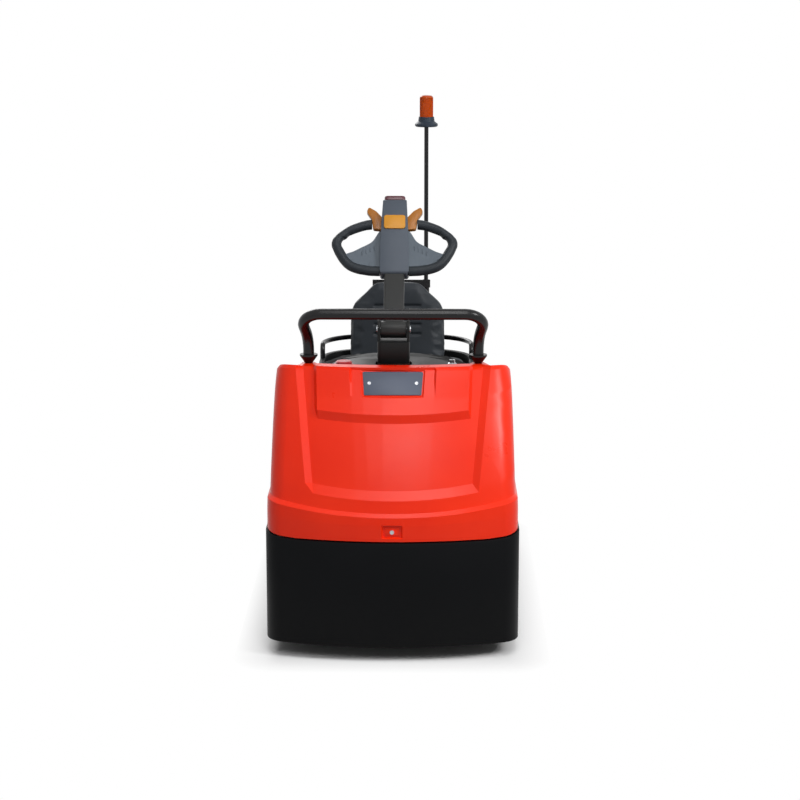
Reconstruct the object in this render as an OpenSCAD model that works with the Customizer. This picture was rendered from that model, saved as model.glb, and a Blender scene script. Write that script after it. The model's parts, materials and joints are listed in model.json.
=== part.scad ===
// Seated electric tow tractor with a tiller: three wheels, moulded hood, stepped coupling at the rear.
// Lengths in millimetres. The front faces -Y, the coupling +Y, and the origin is on the ground.

/* [Body] */
// Length from the skirt's front to the end of the tow coupling
overall_l = 1500; // [1480:10:1640]
// Width over the skirts
overall_w = 730; // [700:5:780]
// Height of the skirts' lower edge above the ground
ground_gap = 45; // [35:5:60]
// Wall of the steel skirts
skirt_t = 8; // [5:1:12]
// Height of the seam between skirt and hood at the front
seam_z = 355; // [345:5:380]
// Rise of that seam from the front to the sides
seam_rise = 16; // [4:1:24]
// Gap between a moulding and the skirt below it
seam_gap = 3; // [1:0.5:6]
// Radius of the bowed front and rear, seen from above
bow_r = 1000; // [900:20:1300]
// Radius of the body's corners, seen from above
corner_r = 65; // [60:1:75]

/* [Hood] */
// Length of the hood and of the front skirt
hood_l = 480; // [450:10:490]
// Wall of the mouldings
wall = 5; // [3:0.5:6]
// Depth of the recessed front panel
recess_d = 13; // [6:1:18]
// Height of the raised brow above the recessed panel
brow_d = 12; // [6:1:16]
// Depth of the latch pocket
latch_d = 9; // [5:1:12]
// Depth of the sunk frame around the plate, at its upper edge
frame_d = 10; // [4:1:14]
// Depth of the plate's own pocket
pocket_d = 8; // [6:0.5:10]
// Thickness of the blank plate
plate_t = 3; // [1.5:0.5:4]
// Depth of the hood's front behind the skirt's, at its foot
hood_set = 15; // [12:1:20]
// Backward lean of the hood's ridge from its foot
hood_lean = 191; // [170:1:200]
// Drop of the two notches in the ridge, below its top
notch_drop = 10; // [4:1:14]
// Width of the flange along the hood's top
flange_w = 30; // [24:1:34]
// Depth of the dash panel below the hood's top
dash_drop = 27; // [22:1:36]
// Thickness of the dash and cowl panels
panel_t = 6; // [3:1:8]

/* [Guard bar] */
// Diameter of the bar
bar_d = 32; // [26:1:36]
// Distance of its feet from the middle
bar_x = 247; // [235:1:255]
// Outward lean of its upper corners
bar_spread = 22; // [0:1:30]
// Forward lean of its top
bar_lean = 85; // [40:5:90]
// Height of its feet's straight part
bar_foot_h = 72; // [66:1:80]
// Height of its top tube above its feet
bar_h = 158; // [150:1:170]
// Bend radius of its corners
bar_bend_r = 52; // [45:1:60]
// Diameter of its collars
collar_d = 52; // [46:1:56]

/* [Drive] */
// Distance of the steering axis ahead of the hood's rear edge
steer_set = 135; // [125:1:145]
// Diameter of all wheels
wheel_d = 250; // [230:5:260]
// Width of all tyres
tyre_w = 80; // [70:2:90]
// Radial thickness of a tyre
tyre_t = 32; // [20:2:40]
// Diameter of the wheel axles
axle_d = 34; // [28:1:40]
// Height of the turntable plate's underside
turntable_z = 296; // [290:1:305]
// Thickness of the turntable plate
turntable_t = 12; // [8:1:16]
// Diameter of the drive motor
motor_d = 180; // [150:5:200]
// Height of the drive motor
motor_h = 240; // [200:5:280]
// Diameter of the steering column
column_d = 50; // [40:2:60]

/* [Tiller] */
// Lean of the tiller from the vertical, as parked
tiller_lean = 37; // [30:1:45]
// Height of the tiller's pivot above the dash
pivot_h = 106; // [100:1:115]
// Length of the tiller from its pivot to the end button
tiller_l = 449; // [440:1:480]
// Width of the tiller's arm
arm_w = 60; // [50:1:64]
// Thickness of the tiller's arm
arm_t = 32; // [26:1:38]
// Width over the tiller's yoke
yoke_w = 94; // [90:1:104]
// Diameter of the pivot pins
pivot_d = 16; // [12:1:20]
// Distance from the pivot to the head's lower end
head_u = 178; // [170:1:190]
// Width of the head at its lower end
head_w = 86; // [80:1:92]
// Width of the head at its upper end
head_top_w = 71; // [64:1:76]
// Thickness of the head
head_t = 52; // [46:1:60]
// Width over the two grips
grip_span = 392; // [370:2:400]
// Diameter of the grips
grip_d = 30; // [26:1:32]

/* [Seat and rear] */
// Height of the floor
floor_z = 165; // [150:5:180]
// Length of the rear body
rear_l = 600; // [570:10:620]
// Length of the tow coupling behind the body
coupling_l = 100; // [90:5:120]
// Height of the rear cover above its seam
cover_h = 232; // [220:2:250]
// Distance of the rear axle ahead of the body's rear
axle_set = 270; // [250:5:290]
// Height of the seat tub above the deck
tub_h = 98; // [80:2:110]
// Half of the seat tub's width
tub_half_w = 252; // [240:2:260]
// Height of the hip hoop's tube above the tub
hoop_h = 42; // [34:1:50]
// Diameter of the hip hoop's tube
hoop_d = 16; // [12:1:20]
// Width of the seat's back
back_w = 310; // [290:2:330]
// Height of the seat's top above the deck
seat_h = 336; // [330:2:350]
// Thickness of the seat cushion
cushion_t = 75; // [60:1:85]
// Diameter of the beacon's pole
pole_d = 14; // [10:1:18]
// Height of the beacon's pole above the seat's top
pole_h = 500; // [460:10:540]
// Diameter of the beacon's foot
beacon_d = 75; // [66:1:80]
// Diameter of the amber lens
lens_d = 44; // [38:1:50]
// Height of the amber lens
lens_h = 70; // [60:1:80]
// Diameter of the tow pin
pin_d = 25; // [20:1:28]
// Thickness of the coupling's tongues
tongue_t = 12; // [10:1:14]
// Distance between the coupling's tongues, middle to middle
tongue_pitch = 60; // [56:1:62]

/* [Hidden] */
$fn = 48;

// Paint, plastic and metal colours
RED = "#f24a2b";
BLACK = "#17181a";
SLATE = "#43484d";
GREY = "#6b7278";
STEEL = "#b9bcc0";
YELLOW = "#dfa034";
AMBER = "#f07814";
BRONZE = "#6f5651";

// Clearances: at a seat, at a turning fit, and for pieces that pass each other
seat_gap = 0.3;
fit_gap = 0.25;
pass_gap = 6;
// Half of the body's width, and its length without the coupling
half_w = overall_w / 2;
body_l = overall_l - coupling_l;
rear_y = body_l - rear_l;
axle_y = body_l - axle_set;
steer_y = hood_l - steer_set;
// Steps round a bend of a swept bar, and sides of the swept bars
BEND_STEPS = 8;
BAR_SIDES = 24;
GRIP_SIDES = 16;
// The seam rises from front to side between these two depths
seam_y0 = 45;
seam_y1 = 110;

function unit(v) = v / norm(v);

// Points of an arc that rounds the corner at b between a and c
function fillet(a, b, c, r, n) =
    let (u = unit(a - b), v = unit(c - b), half = acos(u * v) / 2)
    let (m = b + unit(u + v) * r / sin(half), s = b + u * r / tan(half), e = b + v * r / tan(half))
    let (a0 = atan2(s.y - m.y, s.x - m.x), a1 = atan2(e.y - m.y, e.x - m.x))
    let (turn = (a1 - a0 + 540) % 360 - 180)
    [for (i = [0:n]) m + r * [cos(a0 + turn * i / n), sin(a0 + turn * i / n)]];

// A closed outline with every corner rounded; r holds one radius for each point
function rounded(p, r, n = 6) =
    let (k = len(p))
    [for (i = [0:k - 1]) each r[i] == 0 ? [p[i]] : fillet(p[(i + k - 1) % k], p[i], p[(i + 1) % k], r[i], n)];

// A rectangle about the origin with rounded corners
function round_rect(w, l, r) =
    rounded([[-w / 2, -l / 2], [w / 2, -l / 2], [w / 2, l / 2], [-w / 2, l / 2]], [r, r, r, r]);

// The mirrored half of an outline, added to it
function both_halves(p) = concat(p, [for (i = [len(p) - 1:-1:0]) [-p[i].x, p[i].y]]);

// Places measured from the skirt's front are moved into the part's frame
module place() {
    translate([0, -overall_l / 2, 0]) children();
}

module mirrored() {
    children();
    mirror([1, 0, 0]) children();
}

// A straight rod between two points
module rod(a, b, d) {
    v = b - a;
    translate(a) rotate([0, acos(v.z / norm(v)), atan2(v.y, v.x)]) cylinder(d = d, h = norm(v));
}

// A bend of a tube at p, from direction u to direction v
module bend(p, u, v, r, d) {
    turn = acos(u * v);
    w = unit(v - u * (u * v));
    n = cross(u, w);
    c = p - u * r * tan(turn / 2) + w * r;
    multmatrix([[-w.x, u.x, n.x, c.x], [-w.y, u.y, n.y, c.y], [-w.z, u.z, n.z, c.z], [0, 0, 0, 1]])
        rotate_extrude(angle = turn) translate([r, 0]) circle(d = d);
}

// A round tube along a path of points; r holds the bend radius at each point, 0 at the two ends
module tube(p, r, d) {
    last = len(p) - 1;
    dirs = [for (i = [0:last - 1]) unit(p[i + 1] - p[i])];
    cut = [for (i = [0:last]) i == 0 || i == last ? 0 : r[i] * tan(acos(dirs[i - 1] * dirs[i]) / 2)];
    for (i = [0:last - 1])
        rod(p[i] + dirs[i] * cut[i], p[i + 1] - dirs[i] * cut[i + 1], d);
    for (i = [1:last - 1])
        bend(p[i], dirs[i - 1], dirs[i], r[i], d);
}

// A path with its corners rounded, as points in space; r holds the radius at each point
function rounded_path(p, r, n) =
    [for (i = [0:len(p) - 1]) each i == 0 || i == len(p) - 1 ? [p[i]] :
        let (u = unit(p[i] - p[i - 1]), v = unit(p[i + 1] - p[i]), turn = acos(u * v), w = unit(v - u * (u * v)))
        let (s = p[i] - u * r[i] * tan(turn / 2))
        [for (k = [0:n]) let (a = turn * k / n) s + r[i] * (sin(a) * u + (1 - cos(a)) * w)]];

// A round bar swept along a path in space, with flat ends
module swept(p, d, sides) {
    last = len(p) - 1;
    tangent = [for (i = [0:last]) unit(p[min(last, i + 1)] - p[max(0, i - 1)])];
    normals = [for (i = 0, n = unit(cross(tangent[0], [0.3, 1, 0.2])); i <= last;
        i = i + 1, n = i > last ? n : unit(n - tangent[i] * (n * tangent[i]))) n];
    points = [for (i = [0:last]) let (b = cross(tangent[i], normals[i]))
        for (k = [0:sides - 1]) let (a = 360 * k / sides) p[i] + d / 2 * (cos(a) * normals[i] + sin(a) * b)];
    walls = [for (i = [0:last - 1]) for (k = [0:sides - 1])
        let (a = i * sides + k, b = i * sides + (k + 1) % sides)
        each [[a, a + sides, b], [b, a + sides, b + sides]]];
    polyhedron(points, concat(walls, [[for (k = [0:sides - 1]) k]],
        [[for (k = [sides - 1:-1:0]) last * sides + k]]), convexity = 8);
}

// Middle of the plan's corner arc, tangent to the side and to the bowed end
function corner_x(w, rc) = w - rc;
function corner_y(w, r, rc) = r - sqrt(pow(r - rc, 2) - pow(w - rc, 2));
// Angle at which the bow runs into the corner arc
function bow_end(w, r, rc) = asin((w - rc) / (r - rc));

// The body's plan from its bowed end at y = 0 back to length l, moved inwards by inset
module plan(w, l, inset = 0) {
    r = bow_r - inset;
    rc = corner_r - inset;
    cx = corner_x(w - inset, rc);
    cy = corner_y(w - inset, r, rc);
    xt = r * sin(bow_end(w - inset, r, rc));
    translate([0, inset]) {
        intersection() {
            translate([0, r]) circle(r = r, $fn = 200);
            translate([-xt, 0]) square([2 * xt, l - inset]);
        }
        for (s = [-1, 1]) translate([s * cx, cy]) circle(r = rc);
        translate([-w + inset, cy]) square([2 * (w - inset), l - inset - cy]);
    }
}

// The same plan as points, for thin panels, with l measured as in plan
function plan_points(w, l, inset, n = 10) =
    let (r = bow_r - inset, rc = corner_r - inset, wi = w - inset)
    let (cx = corner_x(wi, rc), cy = corner_y(wi, r, rc), a0 = bow_end(wi, r, rc))
    let (bow = [for (i = [0:n - 1]) let (a = a0 * i / n) [r * sin(a), inset + r - r * cos(a)]])
    let (arc = [for (i = [0:n]) let (a = a0 + (90 - a0) * i / n) [cx + rc * sin(a), inset + cy - rc * cos(a)]])
    both_halves(concat(bow, arc, [[wi, l]]));

// Height of the seam at a depth behind the end of the body
function seam_at(y) = seam_z + seam_rise * min(1, max(0, (y - seam_y0) / (seam_y1 - seam_y0)));

// A skirt of the plan's outline, open at its far end and cut along the seam
module skirt(l) {
    difference() {
        translate([0, 0, ground_gap]) linear_extrude(seam_z + seam_rise - ground_gap) difference() {
            plan(half_w, l);
            plan(half_w, l + 1, skirt_t);
        }
        rotate([90, 0, 90]) translate([0, 0, -half_w - 1]) linear_extrude(overall_w + 2)
            polygon([[-1, seam_z], [seam_y0, seam_z], [seam_y1, seam_z + seam_rise],
                [seam_y1, seam_z + seam_rise + 1], [-1, seam_z + seam_rise + 1]]);
    }
}

// Moulded shells. Each row of a table is one level of the shell:
// [height above the seam, rise at the sides, set-in of the sides, front's step from the profile,
//  inward rounding, lean of the wall, shares of the recess, brow, latch, frame and pocket depths there]
Z = 0;
RISE = 1;
SIDE = 2;
STEP = 3;
INSET = 4;
LEAN = 5;
RECESS = 6;
BROW = 7;
LATCH = 8;
FRAME = 9;
POCKET = 10;
HOOD_ROWS = [
    [0, 0, 4, -9, 0, 0, 0, 0, 0, 0, 0],
    [9, 4, 4, -9, 0, 0, 0, 0, 0, 0, 0],
    [12, 5, 4, -9, 0, 0, 0, 0, 1, 0, 0],
    [44, 18, 4, -9, 0, 0, 0, 0, 1, 0, 0],
    [48, 20, 4, -9, 0, 0, 0, 0, 0, 0, 0],
    [69, 34, 5, -8, 0, 0, 0, 0, 0, 0, 0],
    [79, 34, 12, 0, 0, 0, 0, 0, 0, 0, 0],
    [114, 40, 13, 0, 0, 0, 0, 0, 0, 0, 0],
    [138, 40, 13.5, 0, 0, 0, 1, 0, 0, 0, 0],
    [202, 34, 15, 0, 0, 0, 1, 0, 0, 0, 0],
    [262, 28, 16.5, 0, 0, 0, 1, 0, 0, 0, 0],
    [316, 25, 18, 0, 0, 0, 1, 0, 0, 0, 0],
    [342, 25, 19, 0, 0, 0, 1, 1, 0, 0, 0],
    [377, 14, 20, 0, 0, 0, 1, 1, 0, 0, 0],
    [385, 12, 20.3, 0, 0, 0, 1, 1, 0, 0.1, 0],
    [389, 11, 20.5, 0, 0, 0, 1, 1, 0, 0.15, 1],
    [424, 4, 22, 0, 0, 0, 1, 1, 0, 0.6, 1],
    [452, 1, 23.5, 0, 0, 0, 1, 1, 0, 0.95, 1],
    [456, 0, 23.8, 0, 0.6, 10, 1, 1, 0, 1, 0],
    [464, 0, 24.2, 0, 4, 35, 1, 1, 0, 0, 0],
    [470, 0, 24.5, 0, 12, 65, 1, 1, 0, 0, 0],
    [472, 0, 24.5, 0, 24, 90, 1, 1, 0, 0, 0]];
// Lines that run up the shell's front: [x at its foot, x at its ridge, and the same five shares]
X_LOW = 0;
X_TOP = 1;
HOOD_LINES = [
    [0, 0, 1, 1, 1, 1, 1],
    [26, 26, 1, 1, 1, 1, 1],
    [30, 30, 1, 1, 0, 1, 1],
    [52, 91, 1, 1, 0, 1, 1],
    [56, 95, 1, 1, 0, 1, 0],
    [92, 121, 1, 1, 0, 1, 0],
    [98, 127, 1, 1, 0, 0, 0],
    [150, 175, 1, 1, 0, 0, 0],
    [204, 222, 1, 1, 0, 0, 0],
    [211, 231, 1, 0, 0, 0, 0],
    [214, 262, 1, 0, 0, 0, 0],
    [234, 284, 0, 0, 0, 0, 0]];
// Steps round a corner and along a side of the shells
CORNER_STEPS = 6;
SIDE_STEPS = 4;
NO_SHARES = [0, 0, 0, 0, 0, 0, 0];
// Exponent of the rise towards the sides
RISE_POWER = 2.2;
hood_h = HOOD_ROWS[len(HOOD_ROWS) - 1][Z];
hood_top = seam_z + seam_gap + hood_h;
// The front rises upright from its foot, then leans back along a power curve
PROFILE_FOOT = 60;
PROFILE_POWER = 1.41;
REAR_LEAN = 18;
function profile(z, lean, h) = hood_set + lean * pow(max(0, z - PROFILE_FOOT) / (h - PROFILE_FOOT), PROFILE_POWER);
function hood_front(row) = profile(row[Z], hood_lean, hood_h) + row[STEP];

// One level of a shell as points from the middle to the end of its right side
function half_level(row, lines, length, lean, h, inner, flange = 0) =
    let (inset = row[INSET] + inner * cos(row[LEAN]) + flange, w = half_w - row[SIDE] - inset)
    let (rc = max(5, corner_r - inset), r = bow_r - inset)
    let (cx = corner_x(w, rc), cy = corner_y(w, r, rc), a0 = bow_end(w, r, rc), xt = r * sin(a0))
    let (up = row[Z] / h, middle = [for (k = lines) min(xt - 4, k[X_LOW] + (k[X_TOP] - k[X_LOW]) * up)])
    let (bowed = concat(middle, [(middle[len(middle) - 1] + xt) / 2]))
    let (front = [for (x = bowed) [x, r - sqrt(r * r - x * x)]])
    let (corner = [for (i = [0:CORNER_STEPS]) let (a = a0 + (90 - a0) * i / CORNER_STEPS)
        [cx + rc * sin(a), cy - rc * cos(a)]])
    let (flat = concat(front, corner))
    let (curved = [for (i = [0:len(flat) - 1]) let (p = flat[i], k = i < len(lines) ? lines[i] : NO_SHARES)
        let (rise = row[RISE] * pow(p.x / w, RISE_POWER))
        let (sunk = recess_d * row[RECESS] * k[2] - brow_d * row[BROW] * k[3] + latch_d * row[LATCH] * k[4])
        let (deep = sunk + frame_d * row[FRAME] * k[5] + pocket_d * row[POCKET] * k[6])
        let (notch = k[2] > k[3] ? notch_drop * row[LEAN] / 90 : 0, bow = p.y * (1 - row[POCKET] * k[6]))
        let (y = profile(row[Z] + (row[STEP] < 0 ? 0 : rise), lean, h) + row[STEP] + inset + bow + deep)
        [p.x, y, (row[Z] == 0 ? seam_at(y) : seam_z + row[Z] + rise) - inner * sin(row[LEAN]) - notch]])
    let (end = curved[len(curved) - 1])
    let (side = [for (i = [1:SIDE_STEPS]) [w, end.y + (length - end.y) * i / SIDE_STEPS, end.z]])
    [for (p = concat(curved, side)) p + [0, 0, seam_gap]];

// The whole level, from the end of the left side to the end of the right side
function level(row, lines, length, lean, h, inner, flange = 0) =
    let (p = half_level(row, lines, length, lean, h, inner, flange), k = len(p))
    concat([for (i = [k - 1:-1:1]) [-p[i].x, p[i].y, p[i].z]], p);

// A moulded shell: its outer and inner faces, joined along the edges
module shell(rows, lines, length, lean) {
    n = len(rows) + 1;
    top = rows[len(rows) - 1];
    h = top[Z];
    outer = concat([for (row = rows) level(row, lines, length, lean, h, 0)],
        [level(top, lines, length, lean, h, 0, flange_w)]);
    inner = concat([for (row = rows) level(row, lines, length, lean, h, wall)],
        [level(top, lines, length, lean, h, wall, flange_w)]);
    m = len(outer[0]);
    points = concat([for (l = outer) each l], [for (l = inner) each l]);
    half = n * m;
    outside = [for (i = [0:n - 2]) for (j = [0:m - 2])
        let (a = i * m + j) each [[a, a + m, a + 1], [a + 1, a + m, a + m + 1]]];
    inside = [for (f = outside) [f[0] + half, f[2] + half, f[1] + half]];
    ends = [for (i = [0, n - 1]) for (j = [0:m - 2]) let (a = i * m + j, b = a + half)
        each i == 0 ? [[a, a + 1, b], [a + 1, b + 1, b]] : [[a, b, a + 1], [a + 1, b, b + 1]]];
    sides = [for (j = [0, m - 1]) for (i = [0:n - 2]) let (a = i * m + j, b = a + half)
        each j == 0 ? [[a, b, a + m], [a + m, b, b + m]] : [[a, a + m, b], [a + m, b + m, b]]];
    polyhedron(points, concat(outside, inside, ends, sides), convexity = 8);
}

// Front of the tractor

dash_z = hood_top - dash_drop;
ridge = HOOD_ROWS[len(HOOD_ROWS) - 1];
// The dash lies under the hood's flange, this far in from the hood's outer face
dash_inset = wall + 20;
boot_d = 96;
boot_h = 10;
yoke_z = dash_z + boot_h + 2;

module front_skirt() {
    color(BLACK) place() skirt(hood_l);
}

module front_hood() {
    color(RED) place() shell(HOOD_ROWS, HOOD_LINES, hood_l, hood_lean);
}

// The blank plate lies on the flat floor of its pocket, between these two levels of the hood
plate_low = HOOD_ROWS[15];
plate_high = HOOD_ROWS[17];
function plate_y(row) = hood_front(row) + recess_d - brow_d + frame_d * row[FRAME] + pocket_d;
function plate_half(row) = let (k = HOOD_LINES[3]) k[X_LOW] + (k[X_TOP] - k[X_LOW]) * row[Z] / hood_h;
plate_rise = plate_high[Z] - plate_low[Z];
plate_run = plate_y(plate_high) - plate_y(plate_low);
plate_edge = 2;

module hood_plate() {
    l = norm([plate_rise, plate_run]);
    color("#6d7685") place()
        translate([0, plate_y(plate_low) - seat_gap, seam_z + seam_gap + plate_low[Z]])
        rotate([90 - atan2(plate_run, plate_rise), 0, 0]) linear_extrude(plate_t)
        polygon(both_halves(rounded([[0, plate_edge], [plate_half(plate_low) - plate_edge, plate_edge],
            [plate_half(plate_high) - plate_edge, l - plate_edge], [0, l - plate_edge]], [0, 4, 4, 0])));
}

// The lock barrel sits in the middle of the latch pocket
latch_lock_d = 13;
latch_plate_w = 40;
latch_plate_h = 22;
latch_plate_t = 2;
latch_proud = 3;

module hood_latch() {
    low = HOOD_ROWS[2];
    high = HOOD_ROWS[3];
    color(STEEL) place()
        translate([0, hood_front(low) + latch_d - seat_gap, seam_z + seam_gap + (low[Z] + high[Z]) / 2])
        rotate([90, 0, 0]) {
            linear_extrude(latch_plate_t) polygon(round_rect(latch_plate_w, latch_plate_h, 4));
            cylinder(d = latch_lock_d, h = latch_plate_t + latch_proud);
        }
}

module dash_panel() {
    color(BLACK) place() translate([0, hood_front(ridge), dash_z - panel_t]) difference() {
        linear_extrude(panel_t)
            polygon(plan_points(half_w - ridge[SIDE], hood_l - hood_front(ridge), dash_inset));
        translate([0, steer_y - hood_front(ridge), -1]) cylinder(d = boot_d + 2 * pass_gap, h = panel_t + 2);
    }
}

// Half-widths of the cowl at the skirt, above the belt and at the dash
module cowl_panel() {
    edge = 1;
    side_z = seam_z + seam_rise - edge;
    belt = HOOD_ROWS[6];
    belt_z = seam_z + belt[Z] + belt[RISE];
    color(BLACK) place() translate([0, hood_l, 0]) rotate([90, 0, 0]) linear_extrude(panel_t)
        polygon(both_halves([[half_w - skirt_t - edge, floor_z + seat_gap], [half_w - skirt_t - edge, side_z],
            [half_w - belt[SIDE] - wall - edge, belt_z],
            [half_w - ridge[SIDE] - wall - edge, dash_z - panel_t - seat_gap]]));
}

// Guard bar: two feet in the notches of the ridge, a top tube that leans forwards and outwards
bar_foot_z = hood_top - notch_drop + seat_gap;
bar_y = hood_front(ridge) + ridge[INSET] + bow_r - sqrt(pow(bow_r, 2) - pow(bar_x, 2)) + recess_d + flange_w / 2;
collar_h = 26;
collar_rim = 5;
collar_foot_d = 22;
bar_kink_r = 90;

module guard_bar() {
    foot = [bar_x, bar_y, bar_foot_z];
    path = [foot + [0, 0, collar_h - collar_rim], foot + [0, 0, bar_foot_h], foot + [bar_spread, -bar_lean, bar_h]];
    color(BLACK) place() {
        swept(rounded_path(concat(path, [for (i = [2:-1:0]) [-path[i].x, path[i].y, path[i].z]]),
            [0, bar_kink_r, bar_bend_r, bar_bend_r, bar_kink_r, 0], BEND_STEPS), bar_d, BAR_SIDES);
        mirrored() translate(foot) rotate_extrude()
            polygon([[0, 0], [collar_foot_d / 2, 0], [collar_d / 2, collar_h - collar_rim],
                [collar_d / 2, collar_h], [0, collar_h]]);
    }
}

// Mushroom stop button at the left of the tiller, key switch at its right
stop_x = 147;
stop_d = 48;
stop_h = 20;
stop_base_d = 58;
stop_base_h = 4;
key_x = 172;
key_d = 26;
key_h = 16;

module stop_button() {
    color("#c2242a") place() translate([-stop_x, steer_y, dash_z + seat_gap]) rotate_extrude()
        polygon([[0, 0], [stop_base_d / 2, 0], [stop_base_d / 2, stop_base_h], [stop_d / 4, stop_base_h],
            [stop_d / 4, stop_h / 2], [stop_d / 2, stop_h / 2 + 2], [stop_d / 2, stop_h - 3],
            [stop_d / 2 - 4, stop_h], [0, stop_h]]);
}

module key_switch() {
    slot = [3, 14, 5];
    color(STEEL) place() translate([key_x, steer_y, dash_z + seat_gap]) difference() {
        rotate_extrude() polygon([[0, 0], [key_d / 2, 0], [key_d / 2, key_h / 3], [key_d / 3, key_h / 2],
            [key_d / 3, key_h], [0, key_h]]);
        translate([-slot.x / 2, -slot.y / 2, key_h - slot.z]) cube([slot.x, slot.y, slot.z + 1]);
    }
}

// Drive unit, which turns as one about the steering axis

neck_d = 120;
crown_d = 200;
crown_t = 20;
ring_h = 6;
case_l = 126;
case_w = 46;
axle_z = wheel_d / 2;
turntable_top = turntable_z + turntable_t;
motor_z = turntable_top + seat_gap + ring_h;

module turntable_plate() {
    color(BLACK) place() difference() {
        translate([0, 0, turntable_z]) linear_extrude(turntable_t)
            plan(half_w, hood_l - panel_t - seat_gap, skirt_t + seat_gap);
        translate([0, steer_y, turntable_z - 1]) cylinder(d = neck_d + 2 * fit_gap, h = turntable_t + 2);
    }
}

module drive_fork() {
    crown_z = turntable_z - seat_gap - crown_t;
    case_x = tyre_w / 2 + pass_gap;
    low = axle_z - case_l / 2;
    color(SLATE) place() translate([0, steer_y, 0]) {
        translate([0, 0, crown_z]) cylinder(d = crown_d, h = crown_t);
        translate([0, 0, crown_z]) cylinder(d = neck_d, h = turntable_top + seat_gap - crown_z);
        translate([0, 0, turntable_top + seat_gap]) cylinder(d = crown_d * 0.9, h = ring_h);
        translate([case_x, 0, 0]) rotate([90, 0, 90]) linear_extrude(case_w) {
            translate([0, axle_z]) circle(d = case_l);
            translate([-case_l / 2, axle_z]) square([case_l, crown_z + crown_t / 2 - axle_z]);
        }
        rod([-tyre_w / 2, 0, axle_z], [case_x + 1, 0, axle_z], axle_d);
    }
}

module drive_motor() {
    rib = 3;
    color(BLACK) place() translate([0, steer_y, motor_z]) {
        cylinder(d = motor_d - 2 * rib, h = motor_h);
        for (i = [1:6]) translate([0, 0, motor_h * i / 7]) cylinder(d = motor_d, h = 2 * rib);
    }
}

column_flange_d = 110;
column_flange_t = 10;

module steering_column() {
    z0 = motor_z + motor_h;
    color(BRONZE) place() translate([0, steer_y, 0]) {
        translate([0, 0, z0]) cylinder(d = column_d, h = yoke_z - z0);
        translate([0, 0, z0]) cylinder(d = column_flange_d, h = column_flange_t);
        translate([0, 0, yoke_z - boot_h]) cylinder(d = boot_d, h = boot_h);
    }
}

// Wheels: a spoked rim with a boss, and a solid tyre with round shoulders

rim_r = wheel_d / 2 - tyre_t;
boss_r = 32;
boss_half = tyre_w / 2 - 4;
web_half = 8;
rim_wall = 10;
hole_d = 20;
holes = 6;
shoulder_r = 12;

module rim() {
    rim_half = tyre_w / 2 - 3;
    inner = rim_r - rim_wall;
    rotate([0, 90, 0]) difference() {
        rotate_extrude() polygon([[axle_d / 2 + fit_gap, -boss_half], [boss_r, -boss_half], [boss_r, -web_half],
            [inner, -web_half], [inner, -rim_half], [rim_r, -rim_half], [rim_r, rim_half], [inner, rim_half],
            [inner, web_half], [boss_r, web_half], [boss_r, boss_half], [axle_d / 2 + fit_gap, boss_half]]);
        for (i = [0:holes - 1]) rotate([0, 0, 360 * i / holes])
            translate([(inner + boss_r) / 2, 0, -web_half - 1]) cylinder(d = hole_d, h = 2 * web_half + 2);
    }
}

module tyre() {
    a = rim_r + fit_gap;
    b = wheel_d / 2;
    h = tyre_w / 2;
    rotate([0, 90, 0]) rotate_extrude($fn = 72)
        polygon(rounded([[a, -h], [b, -h], [b, h], [a, h]], [3, shoulder_r, shoulder_r, 3], 4));
}

module drive_hub() {
    color(STEEL) place() translate([0, steer_y, axle_z]) rim();
}

module drive_tyre() {
    color(BLACK) place() translate([0, steer_y, axle_z]) tyre();
}

// Tiller: the yoke turns with the drive unit, the rest tilts about the pins

pivot_z = dash_z + pivot_h;
cheek_t = 8;
cheek_r = 30;
hub_d = 50;
hub_w = yoke_w - 2 * cheek_t - 2;
yoke_front = 44;
yoke_back = 36;
pin_head_d = 22;
pin_head_t = 3;

module yoke_frame() {
    translate([0, steer_y, 0]) children();
}

module tiller_frame() {
    translate([0, steer_y, pivot_z]) rotate([-tiller_lean, 0, 0]) children();
}

module tiller_yoke() {
    body_top = pivot_z - hub_d / 2 - pass_gap;
    color(BLACK) place() yoke_frame() {
        translate([0, (yoke_back - yoke_front) / 2, yoke_z + seat_gap])
            linear_extrude(body_top - yoke_z - seat_gap)
            polygon(round_rect(yoke_w, yoke_front + yoke_back, 14));
        for (x = [-yoke_w / 2, yoke_w / 2 - cheek_t]) translate([x, 0, 0]) rotate([90, 0, 90]) difference() {
            linear_extrude(cheek_t) {
                translate([0, pivot_z]) circle(r = cheek_r);
                translate([-cheek_r, yoke_z + cheek_r]) square([2 * cheek_r, pivot_z - yoke_z - cheek_r]);
            }
            translate([0, pivot_z, -1]) cylinder(d = pivot_d + 2 * fit_gap, h = cheek_t + 2);
        }
    }
}

module tiller_pins() {
    depth = yoke_w / 2 - cheek_t - 14;
    color(STEEL) place() translate([0, steer_y, pivot_z]) mirrored() {
        rod([depth, 0, 0], [yoke_w / 2 + pin_head_t, 0, 0], pivot_d);
        rod([yoke_w / 2 + fit_gap, 0, 0], [yoke_w / 2 + pin_head_t, 0, 0], pin_head_d);
    }
}

module tiller_arm() {
    color(SLATE) place() tiller_frame() difference() {
        union() {
            rod([-hub_w / 2, 0, 0], [hub_w / 2, 0, 0], hub_d);
            linear_extrude(head_u - seat_gap) polygon(round_rect(arm_w, arm_t, 6));
        }
        rod([-hub_w / 2 - 1, 0, 0], [hub_w / 2 + 1, 0, 0], pivot_d + 2 * fit_gap);
    }
}

// Head: a tapered block, its face crowned towards the top
button_h = 14;
head_end = tiller_l - button_h - seat_gap;
head_waist = head_u + 90;
// Half of the head's width at a distance from the pivot
function head_half(u) = head_w / 2 - (head_w - head_top_w) / 2 * max(0, (u - head_waist) / (head_end - head_waist));

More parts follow.
